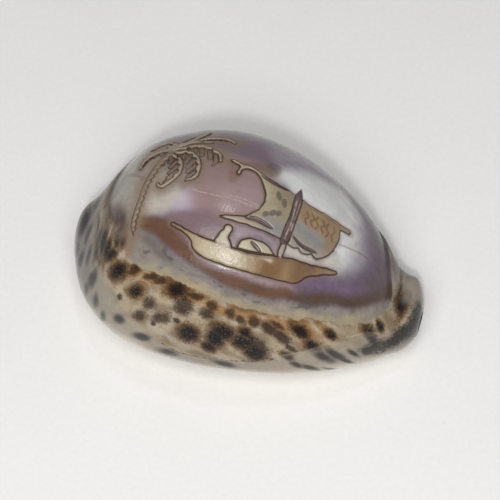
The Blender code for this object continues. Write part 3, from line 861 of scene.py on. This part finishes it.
def rim_colour(x, way, margin, share):
    """The unground shell: cream and tan on the back, grey at both ends and white on the base."""
    streaky = 0.5 + 0.5 * np.clip(ripple(x, way * 0.35, 1.1, 17), -1, 1)
    left = smooth_step(-21.0, -24.0, x) * smooth_step(24.0, 19.0, way)
    ends = np.maximum(smooth_step(-29.0, -33.0, x), 0.9 * smooth_step(33.5, 35.5, x))
    strip = smooth_step(27.0, 30.0, x) * smooth_step(5.0, 1.0, way)
    return laid(
        plain(x, RIM_CREAM),
        (RIM_TAN, 0.9 * smooth_step(-0.5, 0.9, ripple(x, way, 3.0, 6))),
        (RIM_PALE, 0.7 * smooth_step(0.2, 1.2, ripple(x, way, 2.6, 16))),
        (RIM_PALE, 0.25 * left),
        (HALO, 0.85 * left * smooth_step(0.45, 0.75, streaky)),
        (MARGIN_GREY, smooth_step(0.4, -1.6, margin)),
        (LOBE_GREY, ends * smooth_step(0.4, -1.0, margin) * (0.75 + 0.25 * streaky)),
        (RIM_PALE, 0.7 * soft_zone(x, way, (-34.2, -1.0), (1.8, 3.5))),
        (RIM_TAN, 0.6 * soft_zone(x, way, (26.5, 17.0), (4.0, 2.2))),
        (STRIP, strip * smooth_step(-0.4, 0.4, margin)),
        (SLATE, 0.6 * soft_zone(x, way, (32.4, -6.0), (2.0, 3.6))),
        (BASE_WHITE, smooth_step(-2.5, -7.5, margin) * smooth_step(0.1, -0.5, share)),
    )


def palm_colour(x, way):
    """Cream ribs, a tan trunk and a darker foot."""
    beside = [[(place + side, at) for place, at in TRUNK] for side in (-1.0, 1.0)]
    stem = inside(x, way, curve(beside[0] + beside[1][::-1]))
    foot = smooth_step(8.0, 13.0, way) * smooth_step(-0.6, 0.6, ripple(x, way, 1.2, 23))
    return laid(plain(x, RIB_CREAM), (TRUNK_TAN, smooth_step(-0.3, 0.3, stem)), (LEAF_BROWN, foot))


def sail_colour(x, way):
    """The cream and olive left sail, and the grey and tan right one."""
    left = laid(
        plain(x, SAIL_CREAM),
        (SAIL_OLIVE, 0.9 * soft_zone(x, way, (8.6, -1.0), (2.6, 4.4))),
        (SAIL_BLUE, 0.9 * soft_zone(x, way, (7.6, 6.2), (3.4, 2.3))),
        (RIB_CREAM, 0.8 * smooth_step(1.6, 0.2, x)),
    )
    tilt = way - 0.10 * (x - 12)
    right = laid(
        plain(x, SAIL_GREY),
        (SAIL_TAN, smooth_step(2.6, 0.8, tilt + 0.25 * ripple(x, way, 1.6, 18))),
        (SAIL_BLUE, 0.8 * np.exp(-(((tilt - 3.4) / 1.1) ** 2)) * smooth_step(19.5, 16.5, x)),
        (SAIL_TAN, 0.8 * soft_zone(x, way, (19.6, 3.6), (1.5, 4.0))),
    )
    return blend(left, right, smooth_step(10.2, 10.8, x)[..., None])


def picture_colour(x, way):
    """Tones of the raised shapes, laid well past their outlines."""
    places = [place for place, _ in HULL_TONES]
    hull = np.stack([np.interp(x, places, [tone[k] for _, tone in HULL_TONES]) for k in range(3)], -1)
    seated = smooth_step(13.9, 13.2, way) * smooth_step(9.5, 8.5, x) * smooth_step(-4.4, -3.4, x)
    hull = laid(hull, (FIGURE_CREAM, seated))
    on_deck = soft_zone(x, way, (3.0, 11.5), (8.5, 3.2)) - 0.3
    hull_zone = np.maximum(inside(x, way, curve(HULL)) + 0.8, on_deck)
    ship = blend(sail_colour(x, way), hull, smooth_step(0.0, 0.15, hull_zone)[..., None])
    ship = laid(ship, (MAST_LIGHT, smooth_step(-0.1, 0.1, inside(x, way, curve(MAST_FOOT)) + 0.2)))
    right_of_palm = smooth_step(-6.4, -5.6, x + 0.3 * np.minimum(way + 7, 0))
    bow = smooth_step(9.4, 10.4, way) * smooth_step(-16, -15, x)
    return blend(palm_colour(x, way), ship, np.clip(right_of_palm + bow, 0, 1)[..., None])


def outward(points):
    """Unit normals of a grid of points."""
    normal = np.cross(np.gradient(points, axis=1), np.gradient(points, axis=0))
    normal /= np.maximum(np.linalg.norm(normal, axis=-1, keepdims=True), 1e-12)
    return normal if (normal * (points - points.mean((0, 1)))).sum() > 0 else -normal


def round_ends(xs, outer, inner):
    """Draws the outside and the hollow together over the last stretch of X, for a round rim there."""
    share = np.clip((np.abs(xs) - (HALF_LENGTH - END_ROUND)) / END_ROUND, 0, 1)
    draw = 0.92 * (1 - np.sqrt(1 - 0.98 * share**2))
    for i in np.nonzero(draw > 0)[0]:
        a = np.linspace(0, 1, outer.shape[1])
        b = np.linspace(1, 0, inner.shape[1])
        facing = np.stack([np.interp(a, b[::-1], inner[i, ::-1, k]) for k in range(3)], -1)
        middle = (outer[i] + facing) / 2
        back = np.stack([np.interp(b, a, middle[:, k]) for k in range(3)], -1)
        outer[i] = blend(outer[i], middle, draw[i])
        inner[i] = blend(inner[i], back, draw[i])
    return outer, inner


def grid_points(xs, ys, zs):
    """A grid of points from the places of the sections on X and their lists of y and z."""
    y = np.array(ys)
    return np.stack([np.broadcast_to(xs[:, None], y.shape), y, np.array(zs)], -1)


def carved_depth(x, way, share, ledge, blur, margin, folds, carved):
    """How far the surface is moved outward at each point, in mm: the ledge, the picture and the folds."""
    ship, palm, cut, dent, leaf, leaf_share = carved
    raised = np.maximum(ship, palm)
    off_base = smooth_step(*BASE_CORNER, share)
    depth = -LEDGE_HEIGHT * smooth_step(-1.0, 1.0, ledge / np.maximum(LEDGE_WIDTH, blur))
    rise = PICTURE_RISE * smooth_step(-EDGE_WIDTH, EDGE_WIDTH / 2, raised)
    depth += rise * smooth_step(EDGE_WIDTH / 2, -EDGE_WIDTH, cut)
    depth -= CONTOUR_DEPTH * np.exp(-(((raised + 0.28) / 0.22) ** 2))
    gouge = smooth_step(-0.12, 0.12, leaf) * (1 - np.clip(leaf_share, 0, 1))
    depth -= LEAF_DEPTH * gouge
    depth -= DENT_DEPTH * smooth_step(-0.1, 0.2, dent)
    depth -= FOLD_DEPTH * np.exp(-((folds / 0.45) ** 2)) * off_base
    depth -= MARGIN_DEPTH * smooth_step(0.7, -0.7, margin) * off_base
    uneven = UNEVENNESS * ripple(x, way, 3.0, 9)
    depth += uneven * smooth_step(0.0, 2.0, -ledge) * smooth_step(-0.3, 0.2, share)
    return depth * np.minimum(smooth_step(HALF_LENGTH, 38.6, np.abs(x)), smooth_step(-0.999, -0.9, share))


def shell_shape():
    """Points of the outside and of the hollow, and what is painted at each point of the outside."""
    xs = x_lines()
    ys, zs, ways, shares, hollows = zip(*(section(x) for x in xs))
    outer = grid_points(xs, ys, zs)
    inner = grid_points(xs, *zip(*hollows))
    x, way, share = outer[..., 0].copy(), np.array(ways), np.array(shares)
    middle = (outer[..., 1].min() + outer[..., 1].max()) / 2

    ledge = inside(x, way, curve(LEDGE, samples=3))
    chipped = smooth_step(-22.0, -17.0, x) * smooth_step(8.0, 14.0, way) * smooth_step(33.0, 27.0, x)
    ledge += (0.06 + 0.16 * chipped) * ripple(x, way, 1.7, 7) + 0.08 * chipped * ripple(x, way, 0.6, 8)
    crisp = np.maximum(smooth_step(-25.0, -19.5, x), smooth_step(2.0, -4.0, way) * smooth_step(-30, -26, x))
    blur = blend(1.9, 0.10, crisp)
    margin = inside(x, way, curve(MARGIN, samples=3))
    folds = np.minimum(*(to_line(x, way, curve(line, closed=False))[0] for line in GROOVES))
    carved = picture_fields(x, way)

    moved = carved_depth(x, way, share, ledge, blur, margin, folds, carved)
    outer += outward(outer) * moved[..., None]
    outer[..., 2] = np.maximum(outer[..., 2], 0.0)
    outer, inner = round_ends(xs, outer, inner)
    outer[..., 1] -= middle
    inner[..., 1] -= middle

    paint = {"ledge": ledge, "edge": ledge / blur, "margin": margin}
    paint["leaf_share"] = np.clip(carved[5], 0.0, 1.0)
    for name, field in zip(("ship", "palm", "cut", "dent", "leaf"), carved):
        paint[name] = np.maximum(field, LOWEST)
    for name, lines in LINE_FIELDS.items():
        paint[name] = np.maximum(line_field(x, way, lines), LOWEST)
    spots = spot_field(x, way, (*SPOTS, *hidden_spots()))
    paint.update({
        "crease": np.exp(-((folds / 0.30) ** 2)) * smooth_step(BASE_CORNER[0], -0.4, share),
        "spots": spots - 3 * smooth_step(-0.45, BASE_CORNER[0], share),
        "rust": spot_field(x, way, RUST_SPOTS),
        "gold": spot_field(x, way, GOLD_SPOTS),
        "band": band_field(x, way),
        "dashed": smooth_step(0.8, 2.4, ledge) * smooth_step(8.0, 5.0, ledge) * chipped,
        "beak": smooth_step(34.6, 36.4, x) * smooth_step(3.0, -1.0, way) * smooth_step(-10.0, -6.0, way),
        "crown_colour": crown_colour(x, way, ledge),
        "rim_colour": rim_colour(x, way, margin, share),
        "picture_colour": picture_colour(x, way),
    })
    return outer, inner, paint


def store(mesh, name, kind, values):
    """Stores a value or a colour on each point of the mesh."""
    layer = mesh.attributes.new(name, kind, "POINT")
    layer.data.foreach_set("value" if kind == "FLOAT" else "color", values.astype(np.float32).ravel())


def shell_object(material):
    """The whole shell as one closed mesh, with its paint as named values on the points."""
    outer, inner, paint = shell_shape()
    grid = np.concatenate([outer, inner], 1)
    rows, count = grid.shape[:2]
    numbers = np.arange(rows * count).reshape(rows, count)
    after = np.roll(numbers, -1, axis=1)
    quads = np.stack([numbers[:-1], after[:-1], after[1:], numbers[1:]], -1).reshape(-1, 4)
    faces = quads.tolist() + [numbers[0][::-1].tolist(), numbers[-1].tolist()]
    mesh = bpy.data.meshes.new("carved_shell")
    mesh.from_pydata((grid.reshape(-1, 3) * MM).tolist(), [], faces)
    blank = inner.shape[1]
    for name, values in paint.items():
        if values.ndim == 2:
            store(mesh, name, "FLOAT", np.pad(values, ((0, 0), (0, blank)), constant_values=LOWEST))
        else:
            filled = np.concatenate([values, plain(inner[..., 0], INSIDE)], 1)
            store(mesh, name, "FLOAT_COLOR", np.concatenate([filled, np.ones((rows, count, 1))], -1))
    hollow_mark = np.zeros((rows, count))
    hollow_mark[:, -blank:] = 1.0
    store(mesh, "hollow", "FLOAT", hollow_mark)
    mesh.shade_smooth()
    mesh.materials.append(material)
    shell = bpy.data.objects.new("carved_shell", mesh)
    bpy.context.scene.collection.objects.link(shell)
    return shell


class Nodes:
    """Short names for the shader nodes that a material is made of."""

    def __init__(self, material):
        material.use_nodes = True
        self.tree = material.node_tree
        self.shader = self.tree.nodes["Principled BSDF"]
        self.place = self.tree.nodes.new("ShaderNodeTexCoord").outputs["Object"]

    def put(self, socket, value):
        """Gives an input another node's output, a colour, a vector or a number."""
        if isinstance(value, bpy.types.NodeSocket):
            self.tree.links.new(value, socket)
        elif isinstance(value, tuple):
            socket.default_value = value if socket.type == "VECTOR" else (*value, 1.0)
        else:
            socket.default_value = value

    def attribute(self, name, colour=False):
        """A named value or colour that is stored on the mesh."""
        node = self.tree.nodes.new("ShaderNodeAttribute")
        node.attribute_name = name
        return node.outputs["Color" if colour else "Fac"]

    def math(self, kind, first, *others):
        """One sum, product or the like of two values, or of several in turn."""
        for other in others:
            node = self.tree.nodes.new("ShaderNodeMath")
            node.operation = kind
            self.put(node.inputs[0], first)
            self.put(node.inputs[1], other)
            first = node.outputs[0]
        return first

    def times(self, *factors):
        return self.math("MULTIPLY", *factors)

    def plus(self, *terms):
        return self.math("ADD", *terms)

    def wobble(self, noise, size):
        """The noise as a change up and down of about half of the size."""
        return self.times(self.plus(noise, -0.5), size)

    def lift(self, base, extra, mask):
        """The base, with an extra amount where the mask is 1."""
        return self.plus(base, self.times(mask, extra))

    def noise(self, scale, detail=2.0, rough=0.5, stretch=(1, 1, 1), smear=0.0):
        """A noise from about 0.25 to 0.75 that is fixed to the object."""
        moved = self.tree.nodes.new("ShaderNodeMapping")
        moved.inputs["Scale"].default_value = stretch
        self.put(moved.inputs["Vector"], self.place)
        node = self.tree.nodes.new("ShaderNodeTexNoise")
        self.put(node.inputs["Vector"], moved.outputs[0])
        node.inputs["Scale"].default_value = scale
        node.inputs["Detail"].default_value = detail
        node.inputs["Roughness"].default_value = rough
        node.inputs["Distortion"].default_value = smear
        return node.outputs[0]

    def ranged(self, value, low, high, to_low, to_high):
        """The value moved from one range into another, and held within it."""
        node = self.tree.nodes.new("ShaderNodeMapRange")
        self.put(node.inputs["Value"], value)
        node.inputs["From Min"].default_value = low
        node.inputs["From Max"].default_value = high
        node.inputs["To Min"].default_value = to_low
        node.inputs["To Max"].default_value = to_high
        return node

    def step(self, value, low, high):
        """0 where the value is under low, 1 where it is over high, also for low above high."""
        ends = (0.0, 1.0) if low <= high else (1.0, 0.0)
        node = self.ranged(value, min(low, high), max(low, high), *ends)
        node.interpolation_type = "SMOOTHSTEP"
        return node.outputs[0]

    def between(self, value, low, full, full_end, high):
        """1 from full to full_end, falling to 0 at low and at high."""
        return self.times(self.step(value, low, full), self.step(value, high, full_end))

    def mix(self, a, b, share):
        """The colour at a share of the way from a to b."""
        node = self.tree.nodes.new("ShaderNodeMix")
        node.data_type = "RGBA"
        self.put(node.inputs[0], share)
        self.put(node.inputs[6], a)
        self.put(node.inputs[7], b)
        return node.outputs[2]

    def laid(self, colour, *layers):
        """The colour with tones laid over it in turn. A layer is a tone, its strength and its masks."""
        for tone, strength, *masks in layers:
            colour = self.mix(colour, tone, self.times(*masks, strength))
        return colour

    def shade(self, colour, noise, low, high):
        """The colour made lighter and darker by a noise, by factors from low to high."""
        scale = self.tree.nodes.new("ShaderNodeVectorMath")
        scale.operation = "SCALE"
        self.put(scale.inputs[0], colour)
        self.put(scale.inputs["Scale"], self.ranged(noise, 0.25, 0.75, low, high).outputs[0])
        return scale.outputs[0]


def ground_crown(nodes, field, noise):
    """The ground crown, with growth streaks, short grey dashes along its edge and thin worn lines."""
    crown = nodes.shade(nodes.attribute("crown_colour", True), noise.along, 0.88, 1.12)
    for streaks, low, high, end in ((noise.across, 0.95, 1.04, 11.0), (noise.lengthwise, 0.86, 1.12, 12.0)):
        crown = nodes.mix(crown, nodes.shade(crown, streaks, low, high), nodes.step(field.ledge, end, 8.0))
    return nodes.laid(
        nodes.shade(crown, noise.cloud, 0.90, 1.10),
        (DASH_GREY, 0.70, nodes.step(noise.dashes, 0.56, 0.66), field.dashed),
        (HAZE_BROWN, 0.50, nodes.step(field.scratch, -0.25, 0.05)),
    )


def dirt_shade_and_haze(nodes, field, noise, crown, raised):
    """Brown grime and painted shade in the corner round each raised shape, soft haze round the palm and
    spars.
    """
    haze_palm = nodes.step(nodes.plus(field.palm, nodes.wobble(noise.lumps, 3.0)), -3.2, -0.4)
    haze_ship = nodes.step(nodes.plus(field.ship, nodes.wobble(noise.lumps, 1.4)), -1.25, -0.20)
    crown = nodes.laid(crown, (PALM_HAZE, 0.80, haze_palm), (HAZE_BROWN, 0.50, haze_ship))
    deeper = nodes.lift(0.45, 0.35, nodes.step(field.leaf_share, 1.0, 0.1))
    crown = nodes.mix(crown, LEAF_BROWN, nodes.times(nodes.step(field.leaf, -0.08, 0.10), deeper))
    patchy = nodes.lift(0.55, 0.35, nodes.step(noise.lumps, 0.35, 0.6))
    leaf_edge = nodes.between(field.leaf, -0.18, -0.04, 0.04, 0.20)
    crown = nodes.mix(crown, LINE_BROWN, nodes.times(leaf_edge, patchy))
    # Dark line in the groove round each raised shape: partly grime, partly painted shade in that corner
    line = nodes.between(nodes.plus(raised, nodes.wobble(noise.lumps, 0.22)), -0.46, -0.22, -0.06, 0.06)
    darker = nodes.step(nodes.plus(field.ship, nodes.times(field.palm, -1.0)), -0.3, 0.0)
    return nodes.mix(crown, LINE_BROWN, nodes.times(line, nodes.lift(0.62, 0.24, darker)))


def carved_picture(nodes, field, noise, crown, raised):
    """The raised shapes over the crown, their dents and marks, the dark cuts and the pale scratches."""
    shape = nodes.shade(nodes.attribute("picture_colour", True), noise.lumps, 0.86, 1.14)
    shape = nodes.shade(shape, noise.along, 0.94, 1.06)
    shape = nodes.laid(
        nodes.shade(shape, noise.grain, 0.94, 1.06),
        (DENT_GREY, 0.80, nodes.step(field.dent, -0.14, 0.16)),
        (WAVE_BROWN, 0.75, nodes.step(field.waves, -0.14, 0.10)),
        # painted shadow line along the boat's rail, under the cabin and the figure
        (HAZE_BROWN, 0.70, nodes.step(field.gunwale, -0.12, 0.08)),
    )
    crown = nodes.mix(crown, shape, nodes.step(raised, -0.04, 0.06))
    slot = nodes.shade(MAST_MAUVE, noise.across, 0.70, 1.25)
    slot = nodes.mix(slot, SLOT_BROWN, nodes.step(noise.lumps, 0.35, 0.65))
    crown = nodes.mix(crown, slot, nodes.step(field.cut, -0.10, 0.06))
    return nodes.laid(
        crown,
        (LINE_BROWN, 0.60, nodes.between(field.cut, -0.24, -0.08, 0.02, 0.14)),
        (LINE_PALE, 1.0, nodes.step(field.pale_line, -0.18, 0.06), nodes.step(noise.grain, 0.30, 0.65)),
    )


def spotted_back(nodes, field, noise, bare):
    """The unground shell: golden halos and dark spots with feathered, grainy edges."""
    feather = nodes.plus(nodes.wobble(noise.lumps, 1.2), nodes.wobble(noise.grain, 0.6))
    feather = nodes.plus(feather, nodes.wobble(noise.fine, 0.9))
    ragged = nodes.plus(field.spots, feather)
    speckle = nodes.step(nodes.plus(nodes.times(noise.grain, 0.6), nodes.times(noise.fine, 0.4)), 0.50, 0.62)
    # Dark brown just outside the ledge: partly a golden-brown stain, partly painted shade under its step
    stain_and_shade_under_ledge = nodes.times(nodes.step(field.ledge, -1.5, -0.2), nodes.step(field.gold, -0.4, 0.2))
    rim = nodes.shade(nodes.attribute("rim_colour", True), noise.cloud, 0.85, 1.15)
    seam = nodes.between(field.margin, -0.30, 0.0, 0.0, 0.30)
    return nodes.laid(
        nodes.shade(rim, noise.grain, 0.84, 1.15),
        (HALO, 0.40, speckle, bare),
        (GOLD, 0.80, nodes.step(nodes.plus(field.gold, feather), -0.15, 0.45)),
        # partly stain, partly painted shade under the ledge's step
        (HALO, 0.85, stain_and_shade_under_ledge, nodes.step(noise.lumps, 0.36, 0.56)),
        (HALO, 0.88, nodes.step(ragged, -0.78, 0.12), bare),
        (RUST, 0.88, nodes.step(nodes.plus(field.rust, feather), -0.55, 0.45), bare),
        (SPOT_DARK, 0.98, nodes.step(ragged, -0.44, 0.62), bare),
        # pale flecks that stand partly for painted glints on the pitted surface
        (RIM_PALE, 0.40, nodes.step(noise.fine, 0.60, 0.70), nodes.step(noise.cloud, 0.40, 0.60), bare),
        (RIM_PALE, 0.55, nodes.step(field.pale_line, -0.20, 0.06), nodes.step(noise.grain, 0.30, 0.65)),
        (RIM_PALE, 0.50, seam, nodes.step(noise.lumps, 0.40, 0.62)),
    )


def smooth_margin(nodes, field, noise, rim):
    """The smooth margin, with its dark marks, over the spots, which show through it blurred and grey."""
    blurred = nodes.plus(field.spots, nodes.wobble(noise.lumps, 0.9), nodes.wobble(noise.grain, 0.4))
    specks = nodes.times(nodes.plus(noise.grain, noise.fine, -1.0), 1.1)
    specks = nodes.plus(specks, nodes.wobble(noise.lumps, 0.6))
    dots = nodes.step(nodes.plus(noise.grain, noise.lumps), 0.94, 1.06)
    return nodes.laid(
        rim,
        (SPOT_VEILED, 0.92, nodes.step(blurred, -0.50, 0.65), nodes.step(field.margin, 0.5, -0.9)),
        (STRIP, 1.0, field.beak, nodes.step(noise.cloud, 0.2, 0.6)),
        (BAND_DARK, 0.90, nodes.step(nodes.plus(field.band, specks), 0.10, 0.95)),
        (LINE_BROWN, 0.85, field.crease, nodes.step(noise.cloud, 0.25, 0.50)),
        (SPOT_DARK, 0.90, nodes.step(field.dotted, -0.05, 0.12), dots),
    )


def gloss(nodes, field, noise, raised, pitted):
    """Polished crown and margin, duller carved corners, and duller pitted shell under the ledge."""
    corner = nodes.between(raised, -0.75, -0.25, -0.04, 0.16)
    at_ledge = nodes.between(field.ledge, -1.0, -0.4, 0.6, 1.5)
    rough = nodes.lift(0.16, 0.10, nodes.step(noise.lumps, 0.3, 0.8))
    on_top = nodes.step(raised, 0.0, 0.2)
    for extra, mask in ((0.30, corner), (0.06, pitted), (0.06, on_top), (0.25, at_ledge)):
        rough = nodes.lift(rough, extra, mask)
    nodes.put(nodes.shader.inputs["Roughness"], rough)
    shine = nodes.lift(0.12, 0.17, nodes.step(field.edge, -0.5, 0.5))
    dulled = nodes.lift(1.0, -0.85, nodes.math("MAXIMUM", corner, at_ledge))
    nodes.put(nodes.shader.inputs["Specular IOR Level"], nodes.times(shine, dulled))
    nodes.put(nodes.shader.inputs["IOR"], SHELL_IOR)


def fine_relief(nodes, field, noise, raised, pitted):
    """Pits, worn edges, grain and scratches that are too fine for the mesh, as a bump in mm."""
    pits = nodes.times(nodes.plus(nodes.times(noise.grain, 0.9), nodes.times(noise.fine, 0.6)), pitted)
    edges = nodes.lift(nodes.step(raised, -0.16, 0.06), -0.8, nodes.step(field.cut, -0.12, 0.08))
    on_top = nodes.plus(nodes.times(noise.grain, 0.030), nodes.times(noise.lumps, 0.06))
    waves = nodes.times(nodes.plus(noise.along, noise.lumps), 0.012)
    height = nodes.plus(nodes.times(pits, 0.09), nodes.plus(nodes.times(edges, 0.09), waves))
    height = nodes.lift(height, 0.02, nodes.step(field.scratch, -0.15, 0.10))
    height = nodes.plus(height, nodes.plus(nodes.times(noise.fine, 0.020), nodes.times(noise.grain, 0.045)))
    height = nodes.plus(height, nodes.times(nodes.step(raised, 0.0, 0.3), on_top))
    bump = nodes.tree.nodes.new("ShaderNodeBump")
    bump.inputs["Distance"].default_value = MM
    nodes.put(bump.inputs["Height"], height)
    nodes.put(nodes.shader.inputs["Normal"], bump.outputs[0])


def shell_material():
    """Polished shell: ground layers with the picture on the crown, spots on the rim, white on the base."""
    material = bpy.data.materials.new("carved_cowrie")
    nodes = Nodes(material)
    field = SimpleNamespace(**{name: nodes.attribute(name) for name in FIELDS})
    noise = SimpleNamespace(**{name: nodes.noise(*values) for name, values in NOISES.items()})
    raised = nodes.math("MAXIMUM", field.ship, field.palm)
    bare = nodes.step(field.margin, -0.9, 0.5)
    pitted = nodes.times(nodes.step(field.edge, 0.5, -0.5), bare)
    crown = dirt_shade_and_haze(nodes, field, noise, ground_crown(nodes, field, noise), raised)
    crown = carved_picture(nodes, field, noise, crown, raised)
    rim = smooth_margin(nodes, field, noise, spotted_back(nodes, field, noise, bare))
    colour = nodes.mix(rim, crown, nodes.step(field.edge, -1.0, 1.0))
    nodes.put(nodes.shader.inputs["Base Color"], nodes.mix(colour, INSIDE, field.hollow))
    gloss(nodes, field, noise, raised, pitted)
    fine_relief(nodes, field, noise, raised, pitted)
    return material


def make_camera():
    """The photo's camera."""
    turn, tilt = math.radians(CAMERA_AZIMUTH), math.radians(CAMERA_ELEVATION)
    back = Vector((math.sin(turn) * math.cos(tilt), -math.cos(turn) * math.cos(tilt), math.sin(tilt)))
    data = bpy.data.cameras.new("photo_camera")
    data.sensor_width = SENSOR
    data.lens = SENSOR * PHOTO_FOCAL / PHOTO_SIDE
    data.shift_x = 0.5 - PHOTO_CENTRE[0] / PHOTO_SIDE
    data.shift_y = PHOTO_CENTRE[1] / PHOTO_SIDE - 0.5
    camera = bpy.data.objects.new("photo_camera", data)
    camera.location = (Vector(LOOK_AT) + back * CAMERA_DISTANCE) * MM
    camera.rotation_euler = (-back).to_track_quat("-Z", "Y").to_euler()
    bpy.context.scene.collection.objects.link(camera)
    bpy.context.scene.camera = camera


def soft_light(name, place, size, power):
    """A square soft box that shines at the shell."""
    data = bpy.data.lights.new(name, "AREA")
    data.size = size
    data.energy = power
    light = bpy.data.objects.new(name, data)
    light.location = place
    light.rotation_euler = (Vector(LIGHT_TARGET) - Vector(place)).to_track_quat("-Z", "Y").to_euler()
    bpy.context.scene.collection.objects.link(light)


def make_studio():
    """A plain pale floor, a soft grey surround, and soft lights."""
    material = bpy.data.materials.new("pale_floor")
    nodes = Nodes(material)
    tone = nodes.mix(*FLOOR_TONES, nodes.noise(30, 2))
    nodes.put(nodes.shader.inputs["Base Color"], nodes.shade(tone, nodes.noise(900, 2), 0.98, 1.02))
    nodes.put(nodes.shader.inputs["Roughness"], 0.7)
    mesh = bpy.data.meshes.new("floor")
    corners = [(x * FLOOR_REACH, y * FLOOR_REACH, 0) for x, y in ((-1, -1), (1, -1), (1, 1), (-1, 1))]
    mesh.from_pydata(corners, [], [(0, 1, 2, 3)])
    mesh.materials.append(material)
    floor = bpy.data.objects.new("floor", mesh)
    bpy.context.scene.collection.objects.link(floor)
    world = bpy.data.worlds.new("studio")
    world.use_nodes = True
    background = world.node_tree.nodes["Background"]
    background.inputs["Color"].default_value = (*SURROUND, 1.0)
    background.inputs["Strength"].default_value = SURROUND_STRENGTH
    bpy.context.scene.world = world
    for light in LIGHTS:
        soft_light(*light)


make_camera()
make_studio()
shell = shell_object(shell_material())
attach(shell, "root")
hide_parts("shell")
bpy.context.scene.view_settings.view_transform = "Standard"
